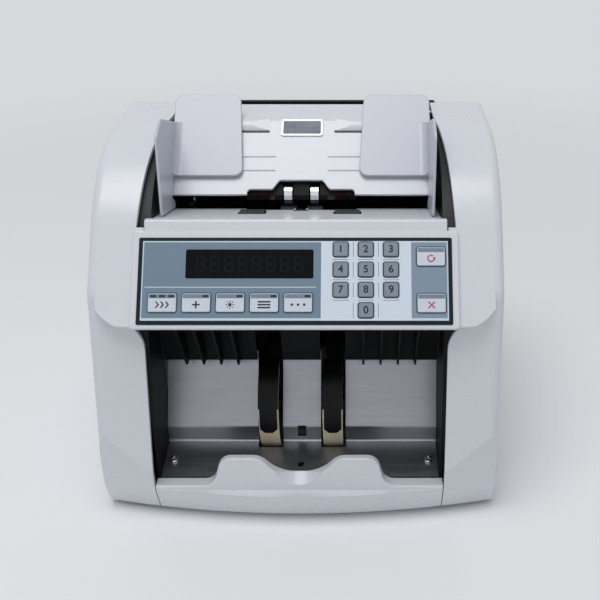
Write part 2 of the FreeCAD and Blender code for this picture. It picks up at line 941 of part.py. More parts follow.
# Printed sheet on the face plate, with holes for the keys and the window
half_print = print_width / 2
half_high = print_height / 2
sheet = rounded(-half_print, half_print, -half_high, half_high, print_corner, 0, print_thickness)
for name, u, v, width, height in keys:
    sheet = sheet.cut(key_hole(u, v, width, height, key_gap, rim_depth))
sheet = sheet.cut(window_hole)
save("panel_overlay", on_panel(sheet))

pane_top = print_thickness + window_proud
pane = rounded(pane_left, pane_right, window_low, window_high, window_corner, -window_depth, pane_top)
pane = pane.makeFillet(window_proud * 0.6, [e for e in pane.Edges if e.BoundBox.ZMin > pane_top - 0.01])
save("display_window", on_panel(pane))

board_x = board_width / 2
board_y = board_height / 2
board = box(-board_x, board_x, -board_y, board_y, -board_depth - board_thickness, -board_depth)
digits = box(
    pane_left + digits_inset_u,
    pane_right - digits_inset_u,
    window_low + digits_inset_v,
    window_high - digits_inset_v,
    -board_depth,
    -window_depth - digits_gap,
)
save("display_board", on_panel(board.fuse(digits)))

# Keys: a cap through the face plate, and a flange that holds it from behind
for name, u, v, width, height in keys:
    x = width / 2
    y = height / 2
    key_top = print_thickness + key_proud
    cap = rounded(u - x, u + x, v - y, v + y, key_corner, -key_foot, key_top)
    cap = cap.makeFillet(key_edge_round, [e for e in cap.Edges if e.BoundBox.ZMin > key_top - 0.01])
    x = x + key_flange
    y = y + key_flange
    flange_top = -panel_proud - key_foot_gap
    flange_low = flange_top - key_flange_thickness
    flange = rounded(u - x, u + x, v - y, v + y, key_corner + key_flange, flange_low, flange_top)
    save(name, on_panel(cap.fuse(flange)))

# Hopper floor of sheet steel, with the two roller slots and the notch at the rear
floor_half = frame_in - floor_side_gap
floor_sheet = box(-floor_half, floor_half, 0, floor_length, -floor_thickness, 0)
for u in (-kick_u, kick_u):
    x = kick_slot_width / 2
    y = kick_slot_length / 2
    slot = rounded(u - x, u + x, kick_contact - y, kick_contact + y, kick_slot_round, -tool_reach, tool_reach)
    floor_sheet = floor_sheet.cut(slot)
notch_v = floor_length - floor_notch_depth
notch = plan_prism(
    [
        (-floor_notch_half, floor_length + 1),
        (-floor_notch_half, notch_v, floor_notch_round),
        (floor_notch_half, notch_v, floor_notch_round),
        (floor_notch_half, floor_length + 1),
    ],
    -tool_reach,
    tool_reach,
)
floor_sheet = floor_sheet.cut(notch)
sensor_v = notch_v - sensor_depth
eye_cut = box(-sensor_width / 2, sensor_width / 2, sensor_v, notch_v + 1, -tool_reach, tool_reach)
floor_sheet = floor_sheet.cut(eye_cut)
save("hopper_floor", on_floor(floor_sheet))

# Kick rollers, feed rollers and their shafts
shaft_left = -frame_out - shaft_end_left
shaft_right = frame_out + shaft_end_right
first_pulley = frame_out + pulley_start
second_pulley = first_pulley + pulley_width + pulley_space


def pulley(x, y, z, radius):
    flange = radius + pulley_flange
    body = rod(x, x + pulley_width, y, z, radius)
    body = body.fuse(rod(x - pulley_rim, x, y, z, flange))
    return body.fuse(rod(x + pulley_width, x + pulley_width + pulley_rim, y, z, flange))


def shaft(y, z, pulleys):
    body = rod(shaft_left, shaft_right, y, z, shaft_radius)
    return joined([body] + pulleys)


def rollers(u, y, z, radius, width):
    one = tube(u - width / 2, u + width / 2, y, z, radius, shaft_radius + fit)
    return pair(one)


kick_pulleys = [pulley(second_pulley, kick_y, kick_z, kick_pulley_radius)]
save("kick_shaft", shaft(kick_y, kick_z, kick_pulleys))
save("kick_rollers", rollers(kick_u, kick_y, kick_z, kick_radius, kick_width))
feed_pulleys = [
    pulley(first_pulley, feed_y, feed_z, feed_pulley_radius),
    pulley(second_pulley, feed_y, feed_z, kick_pulley_radius),
]
save("feed_shaft", shaft(feed_y, feed_z, feed_pulleys))
save("feed_rollers", rollers(pinch_u, feed_y, feed_z, feed_radius, feed_width))
stack_pulleys = [pulley(first_pulley, stacker_y, stacker_z, stacker_pulley_radius)]
save("stacker_shaft", shaft(stacker_y, stacker_z, stack_pulleys))

# Motors on the right frame plate, their pulleys, and the three belts
motors = []
for y, z in motor_places:
    body = rod(frame_in - motor_length, frame_in, y, z, motor_radius)
    motors.append(body.cut(rod(frame_in - motor_bore, frame_in + 1, y, z, motor_shaft_radius + fit)))
save("drive_motors", Part.makeCompound(motors))


def motor_pulley(y, z):
    stem = rod(frame_in - motor_grip, first_pulley, y, z, motor_shaft_radius)
    return joined([stem, pulley(first_pulley, y, z, motor_pulley_radius)])


save("feed_motor_pulley", motor_pulley(feed_motor_y, feed_motor_z))
save("stacker_motor_pulley", motor_pulley(stack_motor_y, stack_motor_z))


def belt_loop(a, radius_a, b, radius_b):
    """Wire round two circles."""
    start = V(a[0], a[1], 0)
    along = V(b[0], b[1], 0) - start
    reach = along.Length
    heading = math.atan2(along.y, along.x)
    swing = math.acos((radius_a - radius_b) / reach)

    def at(centre, radius, angle):
        return side(centre[0] + radius * math.cos(angle), centre[1] + radius * math.sin(angle))

    upper = heading + swing
    lower = heading - swing
    a_upper = at(a, radius_a, upper)
    a_lower = at(a, radius_a, lower)
    b_upper = at(b, radius_b, upper)
    b_lower = at(b, radius_b, lower)
    edges = [
        Part.makeLine(a_upper, b_upper),
        Part.Arc(b_upper, at(b, radius_b, heading), b_lower).toShape(),
        Part.makeLine(b_lower, a_lower),
        Part.Arc(a_lower, at(a, radius_a, heading + math.pi), a_upper).toShape(),
    ]
    return Part.Face(Part.Wire(edges))


def belt(x, a, radius_a, b, radius_b):
    inner = belt_loop(a, radius_a + belt_gap, b, radius_b + belt_gap)
    grow = belt_gap + belt_thickness
    outer = belt_loop(a, radius_a + grow, b, radius_b + grow)
    ring = outer.cut(inner)
    ring.translate(V(x + belt_side_gap, 0, 0))
    return ring.extrude(V(pulley_width - 2 * belt_side_gap, 0, 0))


feed_place = (feed_y, feed_z)
belts = [
    belt(first_pulley, feed_place, feed_pulley_radius, motor_places[0], motor_pulley_radius),
    belt(second_pulley, feed_place, kick_pulley_radius, (kick_y, kick_z), kick_pulley_radius),
    belt(first_pulley, (stacker_y, stacker_z), stacker_pulley_radius, motor_places[1], motor_pulley_radius),
]
save("drive_belts", Part.makeCompound(belts))


# Stacker wheels: a hub with curved fingers, and a longer flexible blade under each finger
def arm(first, last, low, high, width):
    """Curved tongue between two parts of the sweep, from a low to a high offset."""
    curves = []
    for offset in (low, high):
        points = []
        for i in range(9):
            part = first + (last - first) * i / 8.0
            radius = finger_radius(part) + offset
            angle = math.radians(wheel_start_angle + finger_sweep * (part - 1))
            points.append(side(-radius * math.cos(angle), -radius * math.sin(angle)))
        curve = Part.BSplineCurve()
        curve.interpolate(points)
        curves.append(curve.toShape())
    inner, outer = curves
    root = Part.makeLine(inner.Vertexes[0].Point, outer.Vertexes[0].Point)
    tip = Part.makeLine(inner.Vertexes[1].Point, outer.Vertexes[1].Point)
    face = Part.Face(Part.Wire(Part.__sortEdges__([inner, tip, outer, root])))
    face.translate(V(-width / 2, 0, 0))
    return face.extrude(V(width, 0, 0))


def tip_edges(shape, width, length):
    """The two short edges at the corners of a tongue's free end."""
    found = []
    for edge in shape.Edges:
        bounds = edge.BoundBox
        if bounds.XLength > 0.01 or abs(edge.Length - length) > 0.2:
            continue
        if abs(abs(bounds.XMin) - width / 2) > 0.01:
            continue
        found.append(edge)
    found.sort(key=lambda e: -math.hypot(e.CenterOfMass.y, e.CenterOfMass.z))
    return found[:2]


half_finger = finger_thickness / 2
tongue = arm(neck_from - 0.02, 1.0, -half_finger, half_finger, finger_neck)
tongue = tongue.makeChamfer(finger_chamfer, tip_edges(tongue, finger_neck, finger_thickness))
finger = arm(0.0, neck_from, -half_finger, half_finger, hub_width).fuse(tongue)
blade_top = -half_finger - blade_gap
blade = arm(blade_from, blade_past, blade_top - blade_thickness, blade_top, blade_width)
hub = tube(-hub_width / 2, hub_width / 2, 0, 0, hub_radius, shaft_radius + fit)
fingers = []
blades = []
for i in range(finger_count):
    turned = finger.copy()
    turned.rotate(V(0, 0, 0), V(1, 0, 0), i * 360.0 / finger_count)
    fingers.append(turned)
    strip_copy = blade.copy()
    strip_copy.rotate(V(0, 0, 0), V(1, 0, 0), i * 360.0 / finger_count)
    blades.append(strip_copy)
wheel = joined([hub] + fingers)
wheel.translate(V(wheel_u, stacker_y, stacker_z))
save("stacker_wheels", pair(wheel))
blade_set = Part.makeCompound(blades)
blade_set.translate(V(wheel_u, stacker_y, stacker_z))
save("stacker_blades", pair(blade_set))

# Stacker plate: one bent steel sheet, open where the wheels come through
plate_reach = (plate_bend_y - lip_rear_y - plate_lip_gap) / plate_cos
slope_y = plate_bend_y + plate_slope_length * math.cos(math.radians(plate_slope))
slope_z = plate_bend_z + plate_upright + plate_slope_length * math.sin(math.radians(plate_slope))
plate_path = [
    (slope_y, slope_z),
    (plate_bend_y, plate_bend_z + plate_upright, plate_upper_bend),
    (plate_bend_y, plate_bend_z, plate_lower_bend),
    (plate_bend_y - plate_reach * plate_cos, plate_bend_z - plate_reach * plate_sin),
]
stacker = side_prism(strip(plate_path, plate_thickness), -plate_half_width, plate_half_width)
for u in (-wheel_u, wheel_u):
    left = u - plate_slot_half
    right = u + plate_slot_half
    stacker = stacker.cut(box(left, right, plate_bend_y - plate_slot_reach, 0, 0, cover_top))
hole_low = plate_bend_z + plate_hole_low
hole_high = hole_low + plate_hole_height
hole_x = plate_hole_half
stacker = stacker.cut(box(-hole_x, hole_x, -half_d, plate_bend_y + tool_reach, hole_low, hole_high))


def on_plate(shape, reach):
    """Carries a shape made on the level to a place on the floor of the stacker."""
    y = plate_bend_y - reach * plate_cos
    z = plate_bend_z - reach * plate_sin
    return tilted(shape, y, z, plate_floor_tilt)


eye_hole = Part.makeCylinder(floor_hole_radius, 2 * tool_reach, V(0, 0, -tool_reach))
eye_hole = on_plate(eye_hole, floor_hole_reach)
stacker = stacker.cut(eye_hole)
plate_screws = []
for u in (-plate_post_u, plate_post_u):
    hole = Part.makeCylinder(screw_shank_radius + fit, 2 * tool_reach, V(0, 0, -tool_reach))
    hole = on_plate(hole, plate_post_reach)
    hole.translate(V(u, 0, 0))
    stacker = stacker.cut(hole)
    one = on_plate(screw(), plate_post_reach)
    one.translate(V(u, 0, 0))
    plate_screws.append(one)
save("stacker_plate", stacker)
save("stacker_screws", Part.makeCompound(plate_screws))

# Black side walls of the stacker, each with a lining behind the pillar's shoulder, and the ribbed guide above
wall_rear = frame_front_y - wall_rear_gap
wall_points = [
    (wall_front_y, base_top),
    (wall_front_y, wall_step_z),
    (pillar_at(wall_top_z) + wall_setback, wall_top_z),
    (wall_rear, wall_top_z),
    (wall_rear, base_top),
]
lining_low = nose_z - shoulder_round - lining_margin
lining_front = cheek_wall / math.cos(math.radians(pillar_lean)) + lining_gap
lining_rear = lining_front + lining_thickness
lining_points = [
    (pillar_at(lining_low) + lining_front, lining_low),
    (pillar_at(wall_top_z) + lining_front, wall_top_z),
    (pillar_at(wall_top_z) + lining_rear, wall_top_z),
    (pillar_at(lining_low) + lining_rear, lining_low),
]
lining = side_prism(lining_points, wall_inner, cheek_in + shoulder_round + lining_margin)
side_wall = joined([side_prism(wall_points, wall_inner, wall_outer), lining])
save("stacker_walls", pair(side_wall))

exit_path = [
    (exit_front_y, exit_front_z),
    (exit_rear_y, exit_rear_z, exit_round),
    (exit_rear_y + exit_foot_run, exit_rear_z - exit_foot_drop),
]
guide = side_prism(strip(exit_path, exit_thickness), -plate_half_width, plate_half_width)
for u in (-wheel_u, wheel_u):
    left = u - plate_slot_half
    right = u + plate_slot_half
    guide = guide.cut(box(left, right, exit_rear_y - 4, 0, 0, cover_top))
exit_run = (exit_rear_z - exit_front_z) / (exit_rear_y - exit_front_y)
rib_y = exit_front_y + rib_inset
rib_points = [
    (rib_y, exit_front_z + exit_run * (rib_y - exit_front_y) + rib_sink),
    (exit_rear_y, exit_rear_z + rib_sink),
    (exit_rear_y + exit_foot_run, exit_rear_z - exit_foot_drop),
    (exit_rear_y + exit_foot_run - rib_foot, exit_rear_z - exit_foot_drop),
]
ribs = []
for i in range(rib_count):
    u = rib_first_u + i * rib_pitch
    rib = side_prism(rib_points, u - rib_thickness / 2, u + rib_thickness / 2)
    ribs.append(rib)
    ribs.append(mirrored(rib))
save("exit_guide", joined([guide] + ribs))

# Front lip with two humps and a valley between them
lip_half = cheek_in - lip_end_gap
right_half = [
    (lip_half, foot_height),
    (lip_half, lip_flat_z),
    (hump_outer_u, lip_flat_z, hump_round),
    (hump_outer_top_u, hump_top_z, hump_round),
    (hump_inner_top_u, hump_top_z, hump_inner_round),
    (hump_inner_u, lip_valley_z, valley_round),
]
left_half = [(-p[0],) + tuple(p[1:]) for p in right_half[::-1]]
lip_mass = front_prism(right_half + left_half, -half_d - tool_reach, lip_rear_y)
lip_side = [
    (-half_d - tool_reach, foot_height),
    (-half_d - tool_reach, bow_edge_z),
    (lip_slope_front_y, bow_edge_z + lip_slope_rise),
    (lip_slope_rear_y, hump_top_z + 1),
    (lip_rear_y, hump_top_z + 1),
    (lip_rear_y, foot_height),
]
lip_mass = lip_mass.common(side_prism(lip_side, -lip_half - 1, lip_half + 1))
lip_mass = lip_mass.common(bow_body(0)).removeSplitter()
lip_top = []
for edge in lip_mass.Edges:
    bounds = edge.BoundBox
    if bounds.XLength > 0.01 and bounds.ZMin > lip_flat_z - 0.01:
        lip_top.append(edge)
lip_mass = lip_mass.makeFillet(lip_edge_round, lip_top)
# The valley's floor falls away to the front like a scoop
scoop_z = lip_valley_z + scoop_radius + scoop_start
scoop = Part.makeCylinder(scoop_radius, 2 * tool_reach, V(0, lip_rear_y, scoop_z), V(0, -1, 0))
scoop.rotate(V(0, lip_rear_y, lip_valley_z), V(1, 0, 0), scoop_fall)
lip_mass = lip_mass.cut(scoop)
save("stacker_lip", lip_mass)

# Top cover: bent shell with webs, hinge knuckles, note ridges, a stepped cut-out and two hooded guide slots
lid_path = [(lid_rear_y, crest_z), (crest_y, crest_z, crest_round), (slope_low_y, slope_low_z)]
lid = side_prism(strip(lid_path, lid_thickness), -lid_half, lid_half)
rail_v = slot_v + slot_height / 2
rail_y, rail_z = slope_point(rail_v, -rail_depth)
web_points = [
    slope_point(web_low_v, -web_sink),
    slope_point(slope_length - web_crest_back, -web_sink),
    (crest_y + web_crest_past, crest_z - web_sink),
    (lid_rear_y - web_rear_inset, crest_z - web_sink),
    (lid_rear_y - web_rear_inset, hinge_z - web_hinge_drop),
    slope_point(rail_v + web_rail_above, -rail_depth - web_rail_depth),
    slope_point(rail_v - web_rail_below, -rail_depth - web_rail_depth),
    slope_point(web_low_v, -web_low_depth),
]
web = side_prism(web_points, lid_half - lid_web, lid_half)
knuckle = rod(knuckle_u, knuckle_u + knuckle_width, hinge_y, hinge_z, knuckle_radius)
ridges = []
for share in ridge_shares:
    v = share * slope_length
    ridge = box(ridge_inner_u, ridge_outer_u, v, v + ridge_width, -lid_thickness / 2, ridge_height)
    ridge = on_slope(ridge)
    ridges.append(ridge)
    ridges.append(mirrored(ridge))
hood_half = hood_width / 2
hood_radius = (hood_half**2 + hood_rise**2) / (2 * hood_rise)
hood_low_v = slot_v + slot_height
hood_high_v = hood_low_v + hood_width
hood_inner_u = badge_half_width + hood_badge_gap
hood = rod(hood_inner_u, slot_outer_u, hood_low_v + hood_half, hood_rise - hood_radius, hood_radius)
hood_points = [
    (hood_inner_u, -lid_thickness / 2),
    (hood_inner_u, 0),
    (hood_inner_u + hood_fade, hood_rise + 1),
    (slot_outer_u, hood_rise + 1),
    (slot_outer_u, -lid_thickness / 2),
]
hood = on_slope(hood.common(front_prism(hood_points, hood_low_v, hood_high_v)))
lid = joined([lid, web, mirrored(web), knuckle, mirrored(knuckle), hood, mirrored(hood)] + ridges)
lid = lid.cut(rod(-half_w, half_w, hinge_y, hinge_z, hinge_rod_radius + hinge_fit))
lid = lid.cut(rod(-half_w, half_w, rail_y, rail_z, rail_radius + fit))
cut_points = [
    (-cut_wide_half, -cut_margin),
    (-cut_wide_half, cut_wide_high, cut_round),
    (-cut_mid_half, cut_wide_high, cut_round),
    (-cut_narrow_half, cut_high, cut_round),
    (cut_narrow_half, cut_high, cut_round),
    (cut_mid_half, cut_wide_high, cut_round),
    (cut_wide_half, cut_wide_high, cut_round),
    (cut_wide_half, -cut_margin),
]
lid = lid.cut(on_slope(plan_prism(cut_points, -lid_thickness - slot_margin, cut_margin)))
for u0, u1 in ((slot_inner_u, slot_outer_u), (-slot_outer_u, -slot_inner_u)):
    slot = box(u0, u1, slot_v, slot_v + slot_height, -lid_thickness - slot_margin, cut_margin)
    lid = lid.cut(on_slope(slot))
save("top_cover", lid)

rail = rod(-lid_half, lid_half, rail_y, rail_z, rail_radius)
save("guide_rail", rail)

badge_high_v = badge_low_v + badge_height
badge_x = badge_half_width
badge = rounded(-badge_x, badge_x, badge_low_v, badge_high_v, badge_corner, 0, badge_thickness)
badge_rim = [e for e in badge.Edges if e.BoundBox.ZMin > badge_thickness - 0.01]
badge = badge.makeFillet(badge_edge_round, badge_rim)
save("badge_plate", on_slope(badge))

# Hopper guides: an upright wall that bends into a flap against the top cover, and a slider on the rail
flap_top = guide_lift + guide_thickness
flap = plan_prism(
    [
        (guide_flap_low_u, guide_flap_low_v, guide_flap_round),
        (guide_wall_u, guide_flap_low_v),
        (guide_wall_u, guide_flap_high_v, guide_flap_round),
        (guide_flap_high_u, guide_flap_high_v, guide_flap_round),
    ],
    guide_lift,
    flap_top,
)
flap = flap.makeFillet(guide_edge_round, [e for e in flap.Edges if e.BoundBox.ZMin > flap_top - 0.01])
arm_low = rail_v - guide_arm_thickness / 2
arm_high = rail_v + guide_arm_thickness / 2
arm_outer_u = guide_arm_inner_u + guide_arm_width
arm_top = guide_lift + guide_thickness / 4
arm_board = box(guide_arm_inner_u, arm_outer_u, arm_low, arm_high, -rail_depth, arm_top)
flap = on_slope(flap.fuse(arm_board))
slider = rod(guide_arm_inner_u, arm_outer_u, rail_y, rail_z, slider_radius)


def above_floor(y):
    along = (y - floor_front_y) / floor_cos
    return floor_point(along, 0)[1] + guide_floor_gap


guide_rear_y = floor_point(floor_length - guide_heel_inset, 0)[0]
wall_outline = [
    (guide_front_y, above_floor(guide_front_y), guide_toe_round),
    (guide_knee_y, guide_knee_z, guide_knee_round),
    (guide_top_y, guide_top_z, guide_top_round),
    slope_point(guide_join_v, flap_top),
    slope_point(guide_join_v, guide_lift),
    slope_point(0, guide_lift),
    slope_point(-guide_heel_v, guide_lift - guide_heel_step),
    (guide_rear_y, above_floor(guide_rear_y) + guide_heel_rise),
    (guide_rear_y, above_floor(guide_rear_y)),
]
guide_inner_u = guide_wall_u - guide_thickness
guide_wall = side_prism(wall_outline, guide_inner_u, guide_wall_u)
free_edges = []
for edge in guide_wall.Edges:
    middle = edge.CenterOfMass
    height = (middle.z - slope_low_z) * slope_cos - (middle.y - slope_low_y) * slope_sin
    if edge.BoundBox.XLength < 0.01 and height > flap_top:
        free_edges.append(edge)
guide_wall = guide_wall.makeFillet(guide_edge_round, free_edges)
inner_u = guide_inner_u - guide_inner_round
inner_w = flap_top + guide_inner_round
corner = box(inner_u, guide_inner_u, guide_flap_low_v, guide_join_v, flap_top, inner_w)
bend_start = V(inner_u, guide_flap_low_v - 1, inner_w)
bend_length = guide_join_v - guide_flap_low_v + 2
corner = corner.cut(Part.makeCylinder(guide_inner_round, bend_length, bend_start, V(0, 1, 0)))
corner = on_slope(corner).common(side_prism(wall_outline, inner_u, guide_wall_u))
guide_body = joined([guide_wall, flap, slider, corner])
guide_body = guide_body.cut(rod(0, half_w, rail_y, rail_z, rail_radius + rail_fit))
save("right_hopper_guide", guide_body)
save("left_hopper_guide", mirrored(guide_body))

# Separator block behind the cut-out, with its axle, pinch rollers and sensor windows
block_face_y = pinch_y - block_front
block_low_z = pinch_z - block_low
face_v = (block_face_y - slope_low_y - block_setback * slope_sin) / slope_cos
high_z = pinch_z + block_high
high_v = (high_z - slope_low_z + block_setback * slope_cos) / slope_sin
block_rear_y = pinch_y + block_rear
block_points = [
    (block_face_y, block_low_z),
    slope_point(face_v, -block_setback),
    slope_point(high_v, -block_setback),
    (block_rear_y, high_z),
    (block_rear_y, block_low_z - (block_rear_y - block_face_y) * floor_sin / floor_cos),
]
block = side_prism(block_points, -block_half, block_half)
roll_room = pinch_radius + pinch_slot_gap
for u in (-pinch_u, pinch_u):
    left = u - pinch_width / 2 - pinch_slot_gap
    right = u + pinch_width / 2 + pinch_slot_gap
    block = block.cut(box(left, right, -half_d, pinch_y + roll_room, 0, pinch_z + roll_room))
beam_front_y = pinch_y + block_high / 2
beam_points = [
    (beam_front_y, high_z),
    (beam_front_y, block_low_z - (beam_front_y - block_face_y) * floor_sin / floor_cos),
    block_points[4],
    block_points[3],
]
beam_half = lid_half - lid_web - beam_side_gap
beam = side_prism(beam_points, -beam_half, beam_half)
axle = rod(-pinch_u - pinch_width, pinch_u + pinch_width, pinch_y, pinch_z, pinch_axle_radius)
block = joined([block, beam, axle])
tie_y, tie_z = tie_places[0]
block = block.cut(rod(-half_w, half_w, tie_y, tie_z, tie_radius + fit))
save("separator_block", block)
left = pinch_u - pinch_width / 2
right = pinch_u + pinch_width / 2
one = tube(left, right, pinch_y, pinch_z, pinch_radius, pinch_axle_radius + fit)
save("pinch_rollers", pair(one))
window_z = block_low_z + block_window_rise
pane = box(
    block_window_u - block_window_half,
    block_window_u + block_window_half,
    block_face_y - block_window_depth,
    block_face_y,
    window_z,
    window_z + block_window_height,
)
save("sensor_windows", pair(pane))

# Optical sensors: one in the hopper floor, one behind the hole of the stacker plate
hopper_eye = box(-sensor_width / 2, sensor_width / 2, sensor_v, notch_v - eye_gap, -sensor_height, eye_rise)
hopper_eye = on_floor(hopper_eye)
back_y = plate_bend_y + plate_thickness + sensor_back_gap
mid_z = (hole_low + hole_high) / 2
eye_low = mid_z - sensor_height
eye_high = mid_z + sensor_height
stack_eye = box(-sensor_width / 2, sensor_width / 2, back_y, back_y + sensor_depth, eye_low, eye_high)
lens_length = plate_thickness + sensor_back_gap - lens_inset
lens = Part.makeCylinder(eye_radius, lens_length, V(0, back_y, mid_z), V(0, -1, 0))
save("photo_sensors", Part.makeCompound([hopper_eye, stack_eye.fuse(lens)]))

# Rear cover with vents, the power inlet and the rocker switch
rear_top = cover_top + rear_rise
rear_path = [(half_d, base_top), (half_d, rear_top, rear_round), (rear_front_y, rear_top)]
rear = side_prism(strip(rear_path, rear_wall), -rear_half, rear_half)
for i in range(vent_count):
    u = (i - (vent_count - 1) / 2) * vent_pitch
    x = vent_width / 2
    vent_points = [
        (u - x, vent_low_z, x - 0.05),
        (u + x, vent_low_z, x - 0.05),
        (u + x, vent_low_z + vent_length, x - 0.05),
        (u - x, vent_low_z + vent_length, x - 0.05),
    ]
    rear = rear.cut(front_prism(vent_points, half_d - tool_reach, half_d + tool_reach))
x = inlet_width / 2
z = inlet_height / 2
rear = rear.cut(box(inlet_u - x, inlet_u + x, half_d - tool_reach, half_d + 1, inlet_z - z, inlet_z + z))
frame_x = switch_width / 2 + switch_frame
frame_z = switch_height / 2 + switch_frame
switch_left = switch_u - frame_x
switch_right = switch_u + frame_x
switch_low = inlet_z - frame_z
switch_high = inlet_z + frame_z
rear = rear.cut(box(switch_left, switch_right, half_d - tool_reach, half_d + 1, switch_low, switch_high))
save("rear_cover", rear)

socket = box(inlet_u - x, inlet_u + x, half_d - inlet_depth, half_d - inlet_flush, inlet_z - z, inlet_z + z)
hollow_left = inlet_u - x + inlet_wall
hollow_right = inlet_u + x - inlet_wall
hollow_low = inlet_z - z + inlet_wall
hollow_high = inlet_z + z - inlet_wall
hollow_points = [
    (hollow_left, hollow_low, inlet_round),
    (hollow_right, hollow_low, inlet_round),
    (hollow_right, hollow_high - inlet_corner, inlet_round),
    (hollow_right - inlet_corner, hollow_high, inlet_round),
    (hollow_left + inlet_corner, hollow_high, inlet_round),
    (hollow_left, hollow_high - inlet_corner, inlet_round),
]
socket_floor = half_d - inlet_depth + inlet_wall
socket = socket.cut(front_prism(hollow_points, socket_floor, half_d + 1))
half = inlet_pin / 2
for du, dz in pin_places:
    u = inlet_u + du
    w = inlet_z + dz
    pin = box(u - half, u + half, socket_floor - 1, half_d - pin_setback, w - 2 * half, w + 2 * half)
    socket = socket.fuse(pin)
bezel_back = half_d - switch_depth
bezel = box(switch_left, switch_right, bezel_back, half_d - switch_flush, switch_low, switch_high)
open_x = switch_width / 2
open_z = switch_height / 2
well_floor = half_d - switch_depth + switch_floor
bezel = bezel.cut(
    box(switch_u - open_x, switch_u + open_x, well_floor, half_d + 1, inlet_z - open_z, inlet_z + open_z)
)
save("power_inlet", Part.makeCompound([socket, bezel]))

rocker_radius = switch_height / 2 - switch_gap
pivot_y = half_d - switch_pivot_depth
rocker_x = switch_width / 2 - switch_gap
rocker = rod(-rocker_x, rocker_x, 0, 0, rocker_radius)
for lean in (-switch_lean, switch_lean):
    away = box(-half_w, half_w, rocker_radius * rocker_face_share, half_d, -half_d, half_d)
    away.rotate(V(0, 0, 0), V(1, 0, 0), lean)
    rocker = rocker.cut(away)
rocker = rocker.cut(box(-half_w, half_w, -half_d, -rocker_radius * rocker_back_share, -half_d, half_d))
rocker.rotate(V(0, 0, 0), V(1, 0, 0), -switch_lean)
rocker.translate(V(switch_u, pivot_y, inlet_z))
save("power_switch", rocker)

# Main board on the left frame plate, and the transformer on the base plate
pcb_x = -frame_in + pcb_stand
pcb_rear_y = pcb_front_y + pcb_length
pcb_high_z = pcb_low_z + pcb_height
pcb = box(pcb_x, pcb_x + pcb_thickness, pcb_front_y, pcb_rear_y, pcb_low_z, pcb_high_z)
for y in (pcb_front_y + pcb_post_inset, pcb_rear_y - pcb_post_inset):
    for z in (pcb_low_z + pcb_post_inset, pcb_high_z - pcb_post_inset):
        pcb = pcb.fuse(rod(-frame_in, pcb_x, y, z, pcb_post_radius))
chips = []
for y, z, wide, high, deep in chip_sizes:
    chip_y = pcb_front_y + y
    chip_z = pcb_low_z + z
    chip_x = pcb_x + pcb_thickness
    chips.append(box(chip_x, chip_x + deep, chip_y, chip_y + wide, chip_z, chip_z + high))
save("main_board", joined([pcb] + chips))



def core_block(width, depth, low, height):
    x = width / 2
    y = depth / 2
    return box(core_u - x, core_u + x, core_y - y, core_y + y, low, low + height)


core = core_block(core_width, core_depth, base_top, core_height)
coil_z = base_top + (core_height - coil_height) / 2
coil = core_block(coil_width, coil_depth, coil_z, coil_height)
upright = [e for e in coil.Edges if e.BoundBox.XLength < 0.1 and e.BoundBox.ZLength > 1]
coil = coil.makeFillet(coil_round, upright)
save("transformer", joined([core, coil]))
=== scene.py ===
import math

import bmesh
import bpy
from mathutils import Matrix, Vector


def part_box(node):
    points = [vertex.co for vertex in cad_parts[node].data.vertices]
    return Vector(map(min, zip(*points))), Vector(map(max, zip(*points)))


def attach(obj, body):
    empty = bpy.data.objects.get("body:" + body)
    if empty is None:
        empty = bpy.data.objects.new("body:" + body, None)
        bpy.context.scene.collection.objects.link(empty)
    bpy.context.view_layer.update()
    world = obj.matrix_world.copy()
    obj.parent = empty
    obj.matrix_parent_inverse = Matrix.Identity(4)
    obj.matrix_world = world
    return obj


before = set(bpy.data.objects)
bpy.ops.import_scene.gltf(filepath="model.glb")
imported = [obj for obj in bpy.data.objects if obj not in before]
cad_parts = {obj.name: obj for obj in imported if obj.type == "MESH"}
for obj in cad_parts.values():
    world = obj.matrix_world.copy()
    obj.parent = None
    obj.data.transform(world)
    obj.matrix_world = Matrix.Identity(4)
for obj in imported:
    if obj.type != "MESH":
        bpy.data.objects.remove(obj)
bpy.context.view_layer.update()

# Base plate: sheet steel, folded, drilled and powder coated mid grey. It carries the frame, the
# transformer and the stacker plate, and the covers are screwed on over it.


def linear(hex_colour):
    """An sRGB hex colour as linear red, green, blue and alpha."""
    parts = [int(hex_colour[i:i + 2], 16) / 255 for i in (1, 3, 5)]
    return [p / 12.92 if p <= 0.04045 else ((p + 0.055) / 1.055) ** 2.4 for p in parts] + [1.0]


def add_node(tree, kind, options=None, sockets=None):
    """Adds one node; sockets are set by name or number, from a value or another node's output."""
    made = tree.nodes.new(kind)
    for option, value in (options or {}).items():
        setattr(made, option, value)
    for place, value in (sockets or {}).items():
        if isinstance(value, bpy.types.NodeSocket):
            tree.links.new(value, made.inputs[place])
        else:
            made.inputs[place].default_value = value
    return made


def new_finish(name, **sockets):
    """An empty finish: its node tree and its one surface shader, with the even values set on it."""
    finish = bpy.data.materials.new(name)
    finish.use_nodes = True
    shader = finish.node_tree.nodes["Principled BSDF"]
    for place, value in sockets.items():
        shader.inputs[place.replace("_", " ")].default_value = value
    return finish, finish.node_tree, shader


